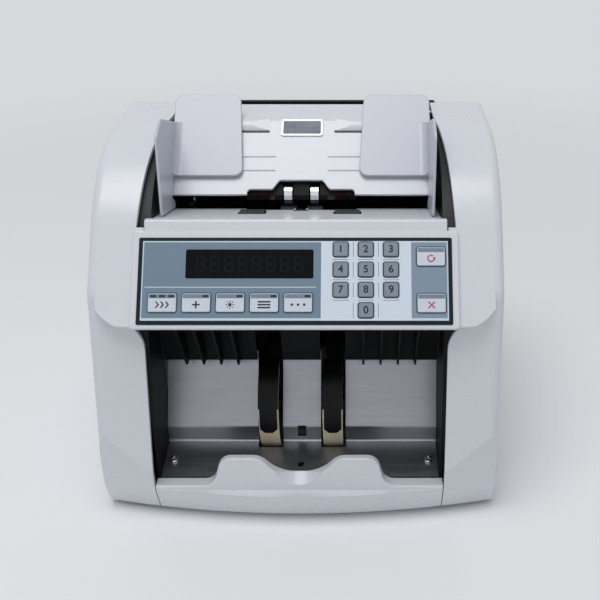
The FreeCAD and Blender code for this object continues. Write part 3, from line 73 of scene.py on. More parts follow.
def mottled(
    name, colour, shade, cloud_mm, grain_mm, relief_mm, rough, stretch=(1, 1, 1), soft_mm=0, **sockets
):
    """A finish with a slow drift between two colours, a grain in its gloss and relief, and soft edges."""
    finish, tree, shader = new_finish(name, **sockets)
    place = add_node(tree, "ShaderNodeTexCoord").outputs["Object"]
    drawn = add_node(tree, "ShaderNodeMapping", None, {"Vector": place, "Scale": stretch}).outputs[0]
    cloud, grain = (
        add_node(tree, "ShaderNodeTexNoise", None, {"Vector": drawn, "Scale": 1000 / wide, "Detail": detail})
        for wide, detail in ((cloud_mm, 3), (grain_mm, 2))
    )
    tints = {0: cloud.outputs[0], 6: linear(colour), 7: linear(shade)}
    tint = add_node(tree, "ShaderNodeMix", {"data_type": "RGBA"}, tints)
    gloss = add_node(
        tree, "ShaderNodeMapRange", None, {0: grain.outputs[0], 1: 0.3, 2: 0.7, 3: rough[0], 4: rough[1]}
    )
    bumps = {"Strength": 0.6, "Distance": relief_mm / 1000, "Height": grain.outputs[0]}
    relief = add_node(tree, "ShaderNodeBump", None, bumps)
    if soft_mm:
        edge = add_node(tree, "ShaderNodeBevel", {"samples": 4}, {"Radius": soft_mm / 1000})
        tree.links.new(edge.outputs[0], relief.inputs["Normal"])
    tree.links.new(tint.outputs[2], shader.inputs["Base Color"])
    tree.links.new(gloss.outputs[0], shader.inputs["Roughness"])
    tree.links.new(relief.outputs[0], shader.inputs["Normal"])
    return finish


def give(finish, *nodes):
    """Puts one finish on CAD nodes."""
    for node in nodes:
        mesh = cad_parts[node].data
        mesh.materials.clear()
        mesh.materials.append(finish)


# Powder coat: an even paint film with a fine orange peel, low in gloss. The peel is drawn at 1.5 mm,
# coarser than the real half millimetre, so that it shows.
grey_powder_coat = mottled("grey_powder_coat", "#8D9094", "#85888D", 70, 1.5, 0.03, (0.45, 0.6))
give(grey_powder_coat, "base_plate")

# Feet: four round ones, moulded in nitrile rubber and screwed up into the base plate. They keep the
# machine from creeping over the table while it runs.
# Matt black rubber with a dusty bloom in patches.
black_rubber = mottled("black_rubber", "#17181A", "#232426", 14, 0.8, 0.03, (0.7, 0.88))
give(black_rubber, "rubber_feet")

# Frame: two upright plates cut from sheet steel and painted black, joined by round tie bars of
# drawn steel. The shafts run in ball bearings pressed into the plates.
# Black stove enamel is thin over the sheet, half gloss, a little cloudy.
black_enamel_steel = mottled("black_enamel_steel", "#0B0C0D", "#111214", 40, 1.2, 0.02, (0.48, 0.6))
give(black_enamel_steel, "frame_plates")

# Drawn and ground steel is bright and shows fine lines round the bar, here stretched along it.
ground_steel = mottled(
    "ground_steel", "#C9CBCE", "#B4B7BB", 12, 0.7, 0.01, (0.2, 0.34), stretch=(0.2, 1, 1), Metallic=1.0
)
give(ground_steel, "frame_tie_bars", "shaft_bearings")

# Drive: two small motors in drawn steel cans, turned aluminium pulleys and flat rubber belts, all
# on the right frame plate. The shafts carry their pulleys outside the plate.
# The cans are zinc plated and passivated, a dull grey metal with a cloudy spangle.
zinc_plate = mottled("zinc_plated_steel", "#7C8084", "#6A6E73", 6, 1.0, 0.015, (0.36, 0.5), Metallic=1.0)
give(zinc_plate, "drive_motors")
# Turned aluminium is pale, with fine rings from the lathe.
turned_aluminium = mottled(
    "turned_aluminium", "#C4C6C8", "#B0B3B6", 9, 0.8, 0.01, (0.26, 0.4), stretch=(3, 1, 1), Metallic=1.0
)
give(turned_aluminium, "feed_motor_pulley", "stacker_motor_pulley")
# The shafts are blacked in hot oxide: dark, oily and only a little shiny.
black_oxide = mottled(
    "black_oxide_steel", "#2A2C2F", "#1F2123", 9, 0.8, 0.01, (0.36, 0.48), stretch=(0.3, 1, 1), Metallic=1.0
)
give(black_oxide, "kick_shaft", "feed_shaft", "stacker_shaft")
# The belts are neoprene with a cloth face, matt, and a little polished where they run.
belt_rubber = mottled("belt_neoprene", "#1C1D1E", "#2A2B2C", 10, 0.9, 0.04, (0.6, 0.78))
give(belt_rubber, "drive_belts")

# Boards and transformer: glass-epoxy boards under green lacquer on posts, and a laminated iron core
# with a taped winding, bolted to the base plate. All are closed in by the covers.
# The lacquer is a thin wet-looking green.
green_lacquer = mottled("green_board_lacquer", "#1F5A3A", "#17482E", 8, 1.0, 0.02, (0.25, 0.4))
give(green_lacquer, "main_board", "display_board")
# The core is varnished, dark, with the edges of its laminations as fine lines.
varnished_iron = mottled(
    "varnished_iron", "#3A342E", "#2B2723", 12, 0.9, 0.08, (0.35, 0.55), stretch=(4, 1, 1), Metallic=0.4
)
give(varnished_iron, "transformer")

# Stacker walls, and the ribbed guide that brings the notes down to the wheels. They are moulded in
# black ABS and clip between the covers; rear cover and separator block are of the same plastic.
# A spark-eroded mould leaves a fine even grain, drawn at 1.2 mm to show, and a satin black.
black_abs = mottled(
    "black_abs_satin", "#0A0B0C", "#0F1012", 45, 1.2, 0.03, (0.5, 0.62), IOR=1.54, Specular_IOR_Level=0.15
)
give(black_abs, "stacker_walls", "exit_guide", "rear_cover", "power_inlet")

# Stacker plate: one sheet of stainless steel with a brushed finish, bent in two places, slotted
# for the wheels and held by two screws to posts on the base plate.
# Brushing runs across the machine: long fine lines, drawn 1.1 mm apart to show, and smeared reflections.
brushed_stainless = mottled(
    "brushed_stainless", "#9A9DA2", "#919499", 5, 1.1, 0.003, (0.32, 0.4), stretch=(0.04, 1, 1), Metallic=1.0
)
give(brushed_stainless, "stacker_plate")

# Screws: pan heads with a cross recess, cold headed from steel wire. Two hold the stacker plate, and the
# others hold the side covers to the frame.
# Bright zinc is nearly mirror smooth, a little cloudy and bluish white.
bright_zinc = mottled("bright_zinc", "#D2D4D6", "#BFC2C5", 3, 0.5, 0.008, (0.16, 0.28), Metallic=1.0)
give(bright_zinc, "stacker_screws", "cover_screws")

# Stacker wheels: two black nylon wheels whose curved fingers take each note, with a longer blade of
# cast urethane fixed under every finger to slow it down.
# Nylon is a little waxier than ABS: deep black with a soft shine along the fingers.
black_nylon = mottled(
    "black_nylon", "#08090A", "#0C0D0E", 20, 1.0, 0.02, (0.36, 0.48), IOR=1.53, Specular_IOR_Level=0.15
)
give(black_nylon, "stacker_wheels")
# Cast urethane is tan, slightly see-through at its edges and greasy to look at, with wear streaks.
tan_urethane = mottled(
    "tan_urethane", "#F0E2C6", "#E4D4B4", 7, 1.0, 0.03, (0.42, 0.6),
    Subsurface_Weight=0.2, Subsurface_Scale=0.001,
)
# Its inner face, towards the shaft, is painted near black: painted shade, for the shade that falls between
# the arms. A face counts as inner where it looks against the arm from the shaft's axis.
painted_shade_black, shade_facing_below = "#0C0D0E", -0.3
shaft_low, shaft_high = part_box("stacker_shaft")
shaft_axis = (0, (shaft_low[1] + shaft_high[1]) / 2, (shaft_low[2] + shaft_high[2]) / 2)
tree = tan_urethane.node_tree
shader = tree.nodes["Principled BSDF"]
surface = add_node(tree, "ShaderNodeTexCoord").outputs
arm = surface["Object"]
for operation, value in (("SUBTRACT", shaft_axis), ("MULTIPLY", (0, 1, 1)), ("NORMALIZE", (0, 0, 0))):
    arm = add_node(tree, "ShaderNodeVectorMath", {"operation": operation}, {0: arm, 1: value}).outputs[0]
facing = add_node(
    tree, "ShaderNodeVectorMath", {"operation": "DOT_PRODUCT"}, {0: surface["Normal"], 1: arm}
).outputs["Value"]
inner = add_node(tree, "ShaderNodeMath", {"operation": "LESS_THAN"}, {0: facing, 1: shade_facing_below})
urethane = shader.inputs["Base Color"].links[0].from_socket
layers = {0: inner.outputs[0], 6: urethane, 7: linear(painted_shade_black)}
# Painted shade: near black on the faces towards the shaft, tan urethane elsewhere.
painted_shade_mix = add_node(tree, "ShaderNodeMix", {"data_type": "RGBA"}, layers)
tree.links.new(painted_shade_mix.outputs[2], shader.inputs["Base Color"])
give(tan_urethane, "stacker_blades")

# Optical sensors: small black blocks moulded in polycarbonate, one set in the rear edge of the hopper
# floor and one behind the hole of the stacker plate. They tell whether notes are there.
# Polycarbonate that lets only infrared through looks black, and is smooth and rather shiny.
black_sensor = mottled("black_polycarbonate", "#0E0F10", "#161719", 10, 0.8, 0.01, (0.22, 0.34), IOR=1.58)
give(black_sensor, "photo_sensors")


def tilted_place(y, z, degrees):
    """Carries a shape drawn flat to a sloping face: X along the machine, Y up the face, Z out of it."""
    return Matrix.Translation((0, y / 1000, z / 1000)) @ Matrix.Rotation(math.radians(degrees), 4, "X")


def rounded_outline(u, v, half_u, half_v, corner, steps=5):
    """Corner-rounded rectangle about u, v as points, in millimetres."""
    points = []
    for turn, (side_u, side_v) in enumerate(((1, 1), (-1, 1), (-1, -1), (1, -1))):
        for step in range(steps + 1):
            angle = math.radians(90 * turn + 90 * step / steps)
            points.append(
                (
                    u + side_u * (half_u - corner) + corner * math.cos(angle),
                    v + side_v * (half_v - corner) + corner * math.sin(angle),
                )
            )
    return points


def raise_outline(mesh, outline, low, high, hole=None):
    """Adds a thin closed plate over an outline, or a closed ring where it has a hole of as many points."""
    rings = []
    for points in (outline, hole) if hole else (outline,):
        for height in (high, low):
            rings.append([mesh.verts.new((u / 1000, v / 1000, height / 1000)) for u, v in points])
    count = len(outline)
    for i in range(count):
        j = (i + 1) % count
        mesh.faces.new((rings[1][i], rings[1][j], rings[0][j], rings[0][i]))
        if hole:
            mesh.faces.new((rings[2][i], rings[2][j], rings[3][j], rings[3][i]))
            mesh.faces.new((rings[0][i], rings[0][j], rings[2][j], rings[2][i]))
            mesh.faces.new((rings[3][i], rings[3][j], rings[1][j], rings[1][i]))
    if not hole:
        mesh.faces.new(rings[0])
        mesh.faces.new(rings[1][::-1])


def new_piece(name, mesh, place, finish, body):
    """Turns a drawn mesh into a piece at its place, with its finish and the body that it rides on."""
    bmesh.ops.recalc_face_normals(mesh, faces=mesh.faces)
    data = bpy.data.meshes.new(name)
    mesh.to_mesh(data)
    mesh.free()
    data.transform(place)
    data.materials.append(finish)
    piece = bpy.data.objects.new(name, data)
    bpy.context.scene.collection.objects.link(piece)
    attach(piece, body)
    return piece


# Sensor clips and eye: two white nylon clips hold the hopper's sensor block at its ends, and a low
# dome, moulded with the block, stands over its eye.
floor_y, floor_z, floor_slope = -54.0, 213.5, -14.5
hopper_floor_place = tilted_place(floor_y, floor_z, floor_slope)
sensor_mid_v, sensor_top = 50.3, 0.8
clip_from_middle, clip_half_u, clip_half_v, clip_corner, clip_rise = 4.7, 0.75, 2.2, 0.4, 0.25
# Nylon is milky white and a little waxy.
white_nylon = mottled("white_nylon", "#E9ECEE", "#DADEE2", 4, 0.6, 0.01, (0.25, 0.4), IOR=1.53)
clips = bmesh.new()
for clip_u in (-clip_from_middle, clip_from_middle):
    clip = rounded_outline(clip_u, sensor_mid_v, clip_half_u, clip_half_v, clip_corner)
    raise_outline(clips, clip, sensor_top - 0.1, sensor_top + clip_rise)
new_piece("hopper_sensor_clips", clips, hopper_floor_place, white_nylon, "chassis")
dome_radius, dome_height, dome_rings = 1.9, 0.5, 5
# The corners stop just short of a full circle, so that no two points fall together.
near_circle = 0.999
dome = bmesh.new()
rings = []
for rise in range(dome_rings):
    angle = math.radians(90 * rise / dome_rings)
    ring_radius = dome_radius * math.cos(angle)
    ring_top = sensor_top + dome_height * math.sin(angle)
    ring = rounded_outline(0, 0, ring_radius, ring_radius, ring_radius * near_circle)
    rings.append([dome.verts.new((u / 1000, (v + sensor_mid_v) / 1000, ring_top / 1000)) for u, v in ring])
for lower, upper in zip(rings, rings[1:]):
    for i in range(len(lower)):
        j = (i + 1) % len(lower)
        dome.faces.new((lower[i], lower[j], upper[j], upper[i]))
dome.faces.new(rings[-1])
dome.faces.new(rings[0][::-1])
new_piece("hopper_sensor_eye", dome, hopper_floor_place, black_sensor, "chassis")

# Side covers, front housing, stacker lip and top cover: the white outer shell, injection moulded in
# ABS and screwed to the frame from the sides.
# Moulded white with a faint blue cast: satin, with a very slow drift in tone where the melt flowed.
# The spark grain is drawn at 1.4 mm and very shallow, so that it only breaks up the gloss.
white_abs = mottled(
    "white_abs_satin", "#D9DCE2", "#D2D5DC", 120, 1.4, 0.001, (0.24, 0.28), soft_mm=0.7, IOR=1.54
)
give(white_abs, "left_side_cover", "right_side_cover", "front_housing", "stacker_lip", "top_cover")

# Panel sheet: polyester film, printed from behind and glued on the housing. Navy border, two
# grey-blue fields and a pale field for the number keys.
panel_y, panel_z, panel_slope = -84.4, 181.3, 51.6
panel_place = tilted_place(panel_y, panel_z, panel_slope)
film_top = 0.5
film_border = "#101A26"
# Left, right, low and high edge of each field and its colour, the later ones over the earlier.
film_fields = (
    (-105.2, 105.2, -27.6, 28.1, "#CBD8E3"),
    (-104.4, 17.8, -25.9, 27.2, "#76899A"),
    (17.8, 79.8, -27.6, 28.1, "#D5E0EB"),
    (79.8, 104.4, -25.9, 27.2, "#8797A7"),
    (-103.0, 14.5, -4.7, -4.1, "#CBD8E3"),
)
# Film has a velvet grain, drawn at 1 mm to show, over colours that are crisp at their edges.
printed_film, tree, shader = new_finish("printed_polyester_film", IOR=1.57, Specular_IOR_Level=0.15)
place = add_node(tree, "ShaderNodeTexCoord").outputs["Object"]
panel_along, panel_up = panel_place.col[0].xyz, panel_place.col[1].xyz
along, across = (
    add_node(tree, "ShaderNodeVectorMath", {"operation": "DOT_PRODUCT"}, {0: place, 1: way}).outputs["Value"]
    for way in (panel_along, panel_up)
)
across_zero = panel_place.translation.dot(panel_up)
colour = linear(film_border)
for left, right, low, high, field in film_fields:
    spans = []
    for value, start, end, zero in ((along, left, right, 0), (across, low, high, across_zero)):
        span = {0: value, 1: zero + (start + end) / 2000, 2: (end - start) / 2000}
        spans.append(add_node(tree, "ShaderNodeMath", {"operation": "COMPARE"}, span).outputs[0])
    inside = add_node(tree, "ShaderNodeMath", {"operation": "MULTIPLY"}, {0: spans[0], 1: spans[1]})
    layers = {0: inside.outputs[0], 6: colour, 7: linear(field)}
    colour = add_node(tree, "ShaderNodeMix", {"data_type": "RGBA"}, layers).outputs[2]
film_grain_mm, film_relief_mm, film_rough = 1.0, 0.01, (0.34, 0.46)
grain_sockets = {"Vector": place, "Scale": 1000 / film_grain_mm, "Detail": 2}
grain = add_node(tree, "ShaderNodeTexNoise", None, grain_sockets).outputs[0]
gloss = add_node(
    tree, "ShaderNodeMapRange", None, {0: grain, 1: 0.3, 2: 0.7, 3: film_rough[0], 4: film_rough[1]}
)
bumps = {"Strength": 0.5, "Distance": film_relief_mm / 1000, "Height": grain}
relief = add_node(tree, "ShaderNodeBump", None, bumps)
tree.links.new(colour, shader.inputs["Base Color"])
tree.links.new(gloss.outputs[0], shader.inputs["Roughness"])
tree.links.new(relief.outputs[0], shader.inputs["Normal"])
give(printed_film, "panel_overlay")

# Display window: a pane of smoked acrylic glued into the film, over a row of eight seven-segment
# figures that are switched off.
# Nearly black, with a coating that takes most of the room's reflection off it, and faint segments.
smoked_acrylic = mottled(
    "smoked_acrylic", "#0A0B0F", "#0D0E13", 30, 2.5, 0.003, (0.08, 0.14), IOR=1.49, Specular_IOR_Level=0.1
)
give(smoked_acrylic, "display_window")
unlit_segment = mottled(
    "unlit_segment", "#121216", "#16161A", 6, 0.8, 0.003, (0.2, 0.3), IOR=1.5, Specular_IOR_Level=0.1
)
pane_top, pane_mid_u, pane_mid_v = 0.8, -31.35, 11.9
figure_count, figure_pitch, figure_half_u, figure_half_v = 8, 9.6, 2.6, 5.2
bar_half, bar_gap, bar_corner = 0.55, 0.4, 0.3
upright_half = figure_half_v / 2 - bar_gap
segments = bmesh.new()
for figure in range(figure_count):
    mid_u = pane_mid_u + (figure - (figure_count - 1) / 2) * figure_pitch
    bars = []
    for row in (-1, 0, 1):
        bars.append((mid_u, pane_mid_v + row * figure_half_v, figure_half_u - bar_gap, bar_half))
    for side in (-1, 1):
        for row in (-0.5, 0.5):
            upright_u, upright_v = mid_u + side * figure_half_u, pane_mid_v + row * figure_half_v
            bars.append((upright_u, upright_v, bar_half, upright_half))
    for bar in bars:
        raise_outline(segments, rounded_outline(*bar, bar_corner, 1), pane_top - 0.05, pane_top + 0.02)
new_piece("display_segments", segments, panel_place, unlit_segment, "chassis")

# Keys: double-shot ABS caps that come up through the film. Ten number caps are grey-blue, the seven
# wide ones pale with a darker tab along the top edge and small lamp windows in it.
# The caps are smooth and matt. The inks on them are flat and crisp, and the lamp windows dark and shiny.
grey_key_abs = mottled("grey_key_abs", "#828E9B", "#7A8693", 9, 0.9, 0.012, (0.38, 0.5), IOR=1.54)
pale_key_abs = mottled("pale_key_abs", "#D0D8E1", "#C7D0DA", 9, 0.9, 0.012, (0.38, 0.5), IOR=1.54)
tab_ink = mottled("slate_key_ink", "#76869A", "#6D7D90", 7, 0.8, 0.01, (0.4, 0.52))
navy_ink = mottled("navy_screen_ink", "#0A0F16", "#0E141C", 5, 0.7, 0.01, (0.42, 0.56))
red_ink = mottled("red_screen_ink", "#B8485A", "#AD3F52", 5, 0.7, 0.01, (0.42, 0.56))
lamp_window = mottled("smoked_lamp_window", "#1E2731", "#27313C", 4, 0.7, 0.005, (0.15, 0.25), IOR=1.49)
key_top, ink = 1.7, 0.04
number_size, wide_size = (9.8, 9.8), (19.2, 12.8)
number_first_u, number_first_v, number_pitch_u, number_pitch_v = 31.3, 22.1, 17.3, 14.2
number_keys = {"key_0": (48.6, -20.5)}
for number in range(9):
    number_keys["key_%d" % (number + 1)] = (
        number_first_u + number % 3 * number_pitch_u,
        number_first_v - number // 3 * number_pitch_v,
    )
mode_first_u, mode_v, mode_pitch = -90.4, -15.3, 23.2
wide_keys = {"key_mode_%d" % (i + 1): (mode_first_u + mode_pitch * i, mode_v) for i in range(5)}
wide_keys["key_start"] = (93.4, 17.0)
wide_keys["key_stop"] = (93.4, -15.5)
give(grey_key_abs, *number_keys)
give(pale_key_abs, *wide_keys)

# Key figures: each number cap carries its figure, screen printed in navy ink.
# The strokes are a little bolder than the plain letter form.
figure_size, figure_bolder = 7.2, 0.18
for name, (u, v) in number_keys.items():
    letter = bpy.data.curves.new(name + "_figure", "FONT")
    letter.body = name[-1]
    letter.align_x = letter.align_y = "CENTER"
    letter.size = figure_size / 1000
    letter.offset = figure_bolder / 1000
    letter.extrude = ink / 1000
    drawn = bpy.data.objects.new(name + "_letter", letter)
    bpy.context.scene.collection.objects.link(drawn)
    bpy.context.view_layer.update()
    figure = bmesh.new()
    flat_letter = drawn.evaluated_get(bpy.context.evaluated_depsgraph_get())
    figure.from_mesh(bpy.data.meshes.new_from_object(flat_letter))
    bpy.data.objects.remove(drawn)
    spot = panel_place @ Matrix.Translation((u / 1000, v / 1000, key_top / 1000))
    new_piece(name + "_figure", figure, spot, navy_ink, name)

# Key tabs, lamps and signs: each wide cap carries a slate tab, screen printed along its top edge, small
# lamp windows moulded in smoked plastic, and a plain sign in navy or red ink.
tab_height, tab_margin, tab_corner = 2.9, 0.5, 0.6
lamp_half_u, lamp_half_v, lamp_corner, single_lamp = 2.1, 0.85, 0.4, (6.4,)
lamp_places = {"key_mode_1": (-6.2, 0.0, 6.2), "key_start": (), "key_stop": ()}


def stroke(a, b, wide):
    """Outline of a straight ink stroke between two points."""
    (u0, v0), (u1, v1) = a, b
    long = math.hypot(u1 - u0, v1 - v0)
    side_u, side_v = (v0 - v1) / long * wide / 2, (u1 - u0) / long * wide / 2
    return [
        (u0 + side_u, v0 + side_v),
        (u0 - side_u, v0 - side_v),
        (u1 - side_u, v1 - side_v),
        (u1 + side_u, v1 + side_v),
    ]


def arc(radius, start, end, wide, steps=20):
    """Outline of a curved ink stroke about the middle of a cap."""
    angles = [math.radians(start + (end - start) * i / steps) for i in range(steps + 1)]
    outer = [((radius + wide / 2) * math.cos(a), (radius + wide / 2) * math.sin(a)) for a in angles]
    inner = [((radius - wide / 2) * math.cos(a), (radius - wide / 2) * math.sin(a)) for a in angles[::-1]]
    return outer + inner


sign_middle = -tab_height / 2
chevron = [(-1.4, 2.2), (-0.2, 2.2), (1.6, 0), (-0.2, -2.2), (-1.4, -2.2), (0.4, 0)]
plus = [
    stroke((-2.6, 0), (2.6, 0), 1.1),
    stroke((0, 0.55), (0, 2.6), 1.1),
    stroke((0, -0.55), (0, -2.6), 1.1),
]
sun = [rounded_outline(0, 0, 1.2, 1.2, 1.19)]
for ray_angle in [math.radians(45 * i) for i in range(8)]:
    ray_start, ray_end = ((r * math.cos(ray_angle), r * math.sin(ray_angle)) for r in (1.8, 2.9))
    sun.append(stroke(ray_start, ray_end, 0.6))
cross = [
    stroke((-2.2, -2.2), (2.2, 2.2), 0.95),
    stroke((-2.2, 2.2), (-0.4, 0.4), 0.95),
    stroke((0.4, -0.4), (2.2, -2.2), 0.95),
]
signs = {
    "key_mode_1": [[(shift + u, v) for u, v in chevron] for shift in (-3.4, 0, 3.4)],
    "key_mode_2": plus,
    "key_mode_3": sun,
    "key_mode_4": [rounded_outline(0, row, 4.4, 0.55, 0.2, 1) for row in (-2.0, 0, 2.0)],
    "key_mode_5": [rounded_outline(place_u, 0, 0.9, 0.9, 0.89) for place_u in (-4.2, 0, 4.2)],
    "key_start": [arc(2.2, 50, 340, 0.9), [(1.0, 0.6), (3.5, 0.9), (2.5, -1.5)]],
    "key_stop": cross,
}
tab_half = wide_size[0] / 2 - tab_margin
tab_mid_v = wide_size[1] / 2 - tab_margin - tab_height / 2
for name, (u, v) in wide_keys.items():
    spot = panel_place @ Matrix.Translation((u / 1000, v / 1000, 0))
    tab = bmesh.new()
    tab_outline = rounded_outline(0, tab_mid_v, tab_half, tab_height / 2, tab_corner)
    raise_outline(tab, tab_outline, key_top - 0.1, key_top + ink)
    new_piece(name + "_tab", tab, spot, tab_ink, name)
    lamps = lamp_places.get(name, single_lamp)
    if lamps:
        windows = bmesh.new()
        for lamp_u in lamps:
            window = rounded_outline(lamp_u, tab_mid_v, lamp_half_u, lamp_half_v, lamp_corner)
            raise_outline(windows, window, key_top - 0.05, key_top + 2 * ink)
        new_piece(name + "_lamps", windows, spot, lamp_window, name)
    sign = bmesh.new()
    for outline in signs[name]:
        raise_outline(sign, [(a, b + sign_middle) for a, b in outline], key_top - 0.05, key_top + ink)
    sign_ink = red_ink if name in ("key_start", "key_stop") else navy_ink
    new_piece(name + "_sign", sign, spot, sign_ink, name)

# Painted surrounds: a dark line round every key, painted shade where the caps stand out of the film, and
# short double lines between the number keys, painted shade beside painted highlight, that look embossed.
# They lie as thin strips on the film. The line paints are matt and thin.
shade_line_paint = mottled("shade_painted_line", "#3D4E60", "#455668", 6, 0.7, 0.01, (0.42, 0.56))
highlight_line_paint = mottled("highlight_painted_line", "#E4ECF3", "#DCE5ED", 6, 0.7, 0.01, (0.42, 0.56))
surround_gap, surround_width, surround_corner = 0.3, 0.6, 1.5
surrounds = bmesh.new()
for keys, (wide, high) in ((number_keys, number_size), (wide_keys, wide_size)):
    for u, v in keys.values():
        inner_u, inner_v = wide / 2 + surround_gap, high / 2 + surround_gap
        outer_u, outer_v = inner_u + surround_width, inner_v + surround_width
        inner = rounded_outline(u, v, inner_u, inner_v, surround_corner)
        outer = rounded_outline(u, v, outer_u, outer_v, surround_corner + surround_width)
        raise_outline(surrounds, outer, film_top - 0.1, film_top + ink, inner)
new_piece("key_surrounds", surrounds, panel_place, shade_line_paint, "chassis")
grey_lines, white_lines = bmesh.new(), bmesh.new()
line_half, line_step, row_half, column_half = 0.16, 0.36, 5.6, 5.2
row_lines = [(u, v) for v in (15.0, 0.8, -13.4) for u in (31.3, 48.6, 65.9)]
column_lines = [(u, v) for u in (39.95, 57.25) for v in (22.1, 7.9, -6.3, -20.5)]
for spots, half_u, half_v, step_u, step_v in (
    (row_lines, row_half, line_half, 0, line_step),
    (column_lines, line_half, column_half, line_step, 0),
):
    for u, v in spots:
        line = rounded_outline(u, v, half_u, half_v, 0.1, 1)
        beside = rounded_outline(u + step_u, v + step_v, half_u, half_v, 0.1, 1)
        raise_outline(grey_lines, line, film_top - 0.1, film_top + ink)
        raise_outline(white_lines, beside, film_top - 0.1, film_top + ink)
# The dark strips are painted shade and the white strips beside them are painted highlight.
new_piece("keypad_grey_lines", grey_lines, panel_place, shade_line_paint, "chassis")
new_piece("keypad_white_lines", white_lines, panel_place, highlight_line_paint, "chassis")

# Hopper floor: sheet steel with two slots for the kick rollers and a notch at the rear, folded under
# the lip of the housing.
# Light grey enamel, polished along the way that the notes slide on it.
slide_enamel = mottled(
    "light_grey_enamel", "#D3D6DC", "#C9CCD2", 30, 1.4, 0.003, (0.28, 0.4), stretch=(1, 0.25, 0.25)
)
give(slide_enamel, "hopper_floor")

# Kick and feed rollers: grooved rubber on turned hubs, pushed on their shafts. They pull the lowest
# note out of the hopper.
# Ground rubber: dark grey, dull and faintly grooved.
roller_rubber = mottled("roller_rubber", "#202326", "#2A2D31", 8, 0.9, 0.05, (0.62, 0.8), stretch=(4, 1, 1))
give(roller_rubber, "kick_rollers", "feed_rollers")

# Separator block: black ABS on a cross beam under the top cover, with two small rollers that let
# through one note at a time and a red sensor window at either side.
give(black_abs, "separator_block")
# The rollers are hard chrome plated and polished.
hard_chrome = mottled("hard_chrome", "#DADCDE", "#CDD0D3", 6, 0.9, 0.004, (0.07, 0.14), Metallic=1.0)
give(hard_chrome, "pinch_rollers")
# The windows are cast in so deep a red that they look black until the light catches them.
red_acrylic = mottled("deep_red_acrylic", "#2A070A", "#1F0507", 6, 1.5, 0.004, (0.14, 0.22), IOR=1.49)
give(red_acrylic, "sensor_windows")

# Badge: a die-cast bezel, pushed into the top cover's slope, with a blank face of thin aluminium glued
# into it.
# Bright nickel is warm and mirror-like, and the face is brushed along its length and anodised dark.
nickel_plate = mottled("bright_nickel", "#C9CBCC", "#B9BBBD", 8, 0.8, 0.005, (0.14, 0.24), Metallic=1.0)
give(nickel_plate, "badge_plate")
slope_y, slope_z, slope_angle = -1.0, 212.0, 45.0
slope_place = tilted_place(slope_y, slope_z, slope_angle)
badge_top, badge_mid_v = 1.2, 55.4
face_half_u, face_half_v, face_corner, face_rise = 14.6, 5.6, 0.8, 0.08
brushed_face = mottled(
    "dark_anodised_aluminium", "#4E5257", "#3A3E43", 14, 0.8, 0.008, (0.3, 0.42),
    stretch=(0.05, 1, 1), Metallic=1.0,
)
face = bmesh.new()
face_outline = rounded_outline(0, badge_mid_v, face_half_u, face_half_v, face_corner)
raise_outline(face, face_outline, badge_top - 0.1, badge_top + face_rise)
new_piece("badge_face", face, slope_place, brushed_face, "top_cover")

# Hopper guides: two white ABS side guides that slide along a ground steel rail under the top cover
# to fit the width of the notes. Their flaps lie against the cover.
# The same plastic as the shell, a shade darker and duller all over.
white_guide_abs = mottled(
    "white_guide_abs", "#C2C5CE", "#BCBFC9", 100, 1.4, 0.001, (0.28, 0.32), soft_mm=0.5, IOR=1.54
)
give(white_guide_abs, "left_hopper_guide", "right_hopper_guide")
give(ground_steel, "guide_rail")

# Rocker switch: a rocker moulded in black nylon, in the rear cover beside the power inlet. It tips on
# a pin in its middle.
give(black_nylon, "power_switch")

# Studio: a pale painted floor that takes the shadow, a wide soft lamp under the ceiling, a weak one in
# front, and even light from all round.
# The paint is matt and almost even.
floor_half = 6.0
floor_paint = mottled("pale_floor_paint", "#F4F5F6", "#F1F2F3", 400, 3.0, 0.02, (0.6, 0.75))
ground = bmesh.new()
corners = ((-1, -1), (1, -1), (1, 1), (-1, 1))
ground.faces.new([ground.verts.new((x * floor_half, y * floor_half, 0)) for x, y in corners])
floor_mesh = bpy.data.meshes.new("studio_floor")
ground.to_mesh(floor_mesh)
ground.free()
floor_mesh.materials.append(floor_paint)
studio_floor = bpy.data.objects.new("studio_floor", floor_mesh)
bpy.context.scene.collection.objects.link(studio_floor)


def seen_directly(tree):
    """One for rays from the eye, also by way of gloss or glass, and nought for light on the object."""
    ray = add_node(tree, "ShaderNodeLightPath").outputs
    total = ray["Is Camera Ray"]
    for kind in ("Is Glossy Ray", "Is Transmission Ray"):
        either = add_node(tree, "ShaderNodeMath", {"operation": "MAXIMUM"}, {0: total, 1: ray[kind]})
        total = either.outputs[0]
    return total


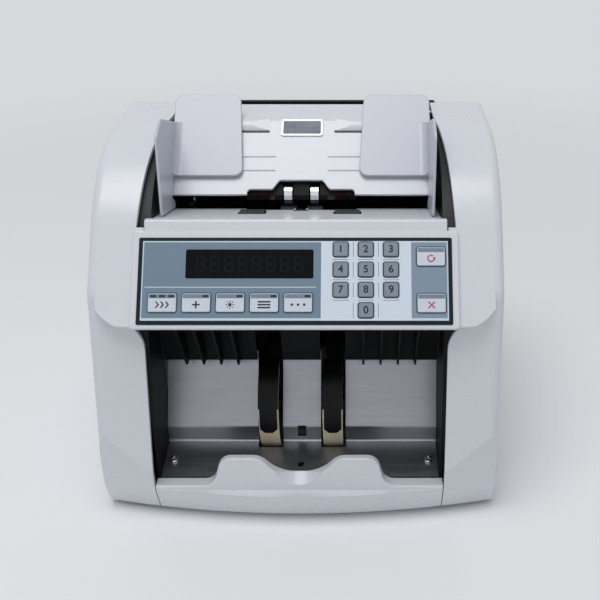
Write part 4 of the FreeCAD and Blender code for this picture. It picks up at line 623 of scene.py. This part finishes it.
# Wall: pale and even all round. Far from the machine the floor turns into it without an edge, and the
# light that falls on the machine is apart from it.
wall_colour, fade_from, fade_to = "#D6D8DB", 0.30, 1.30
room_light, room_strength = "#F3F6FA", 0.45
room = bpy.data.worlds.new("studio_room")
room.use_nodes = True
bpy.context.scene.world = room
tree = room.node_tree
tree.nodes.clear()
light, wall = (
    add_node(tree, "ShaderNodeBackground", None, {"Color": linear(colour), "Strength": strength})
    for colour, strength in ((room_light, room_strength), (wall_colour, 1.0))
)
shares = {0: seen_directly(tree), 1: light.outputs[0], 2: wall.outputs[0]}
both = add_node(tree, "ShaderNodeMixShader", None, shares)
add_node(tree, "ShaderNodeOutputWorld", None, {"Surface": both.outputs[0]})
tree = floor_paint.node_tree
place = add_node(tree, "ShaderNodeTexCoord").outputs["Object"]
away = add_node(tree, "ShaderNodeVectorMath", {"operation": "LENGTH"}, {0: place}).outputs["Value"]
reach = {0: away, 1: fade_from, 2: fade_to, 3: 0.0, 4: 1.0}
fade = add_node(tree, "ShaderNodeMapRange", {"interpolation_type": "SMOOTHSTEP"}, reach).outputs[0]
share = add_node(tree, "ShaderNodeMath", {"operation": "MULTIPLY"}, {0: fade, 1: seen_directly(tree)})
far = add_node(tree, "ShaderNodeEmission", None, {"Color": linear(wall_colour), "Strength": 1.0})
near = tree.nodes["Principled BSDF"].outputs[0]
both = add_node(tree, "ShaderNodeMixShader", None, {0: share.outputs[0], 1: near, 2: far.outputs[0]})
tree.links.new(both.outputs[0], tree.nodes["Material Output"].inputs["Surface"])

# Lamps: two square soft boxes, both aimed at the middle of the machine. Place, width and watts.
lamp_aim = Vector((0, 0, 0.12))
for name, spot, size, watts in (
    ("ceiling_softbox", (-0.2, -0.32, 1.8), 1.0, 14.0),
    ("front_fill", (-0.2, -1.7, 0.9), 1.6, 2.0),
):
    lamp = bpy.data.lights.new(name, "AREA")
    lamp.size = size
    lamp.energy = watts
    stand = bpy.data.objects.new(name, lamp)
    stand.location = spot
    stand.rotation_euler = (lamp_aim - Vector(spot)).to_track_quat("-Z", "Y").to_euler()
    bpy.context.scene.collection.objects.link(stand)

# Camera: it looks straight back and down on the machine from a little to the right, and its frame is
# shifted sideways to bring the machine to where it stands in the picture.
camera_place, camera_down = (0.0454, -0.6329, 0.4592), 28.08
lens = bpy.data.cameras.new("camera")
lens.sensor_width = 36.0
lens.lens = 53.775
lens.shift_x = -0.102
camera = bpy.data.objects.new("camera", lens)
camera.location = camera_place
camera.rotation_euler = (math.radians(90 - camera_down), 0, 0)
bpy.context.scene.collection.objects.link(camera)
bpy.context.scene.camera = camera
bpy.context.scene.view_settings.view_transform = "Standard"
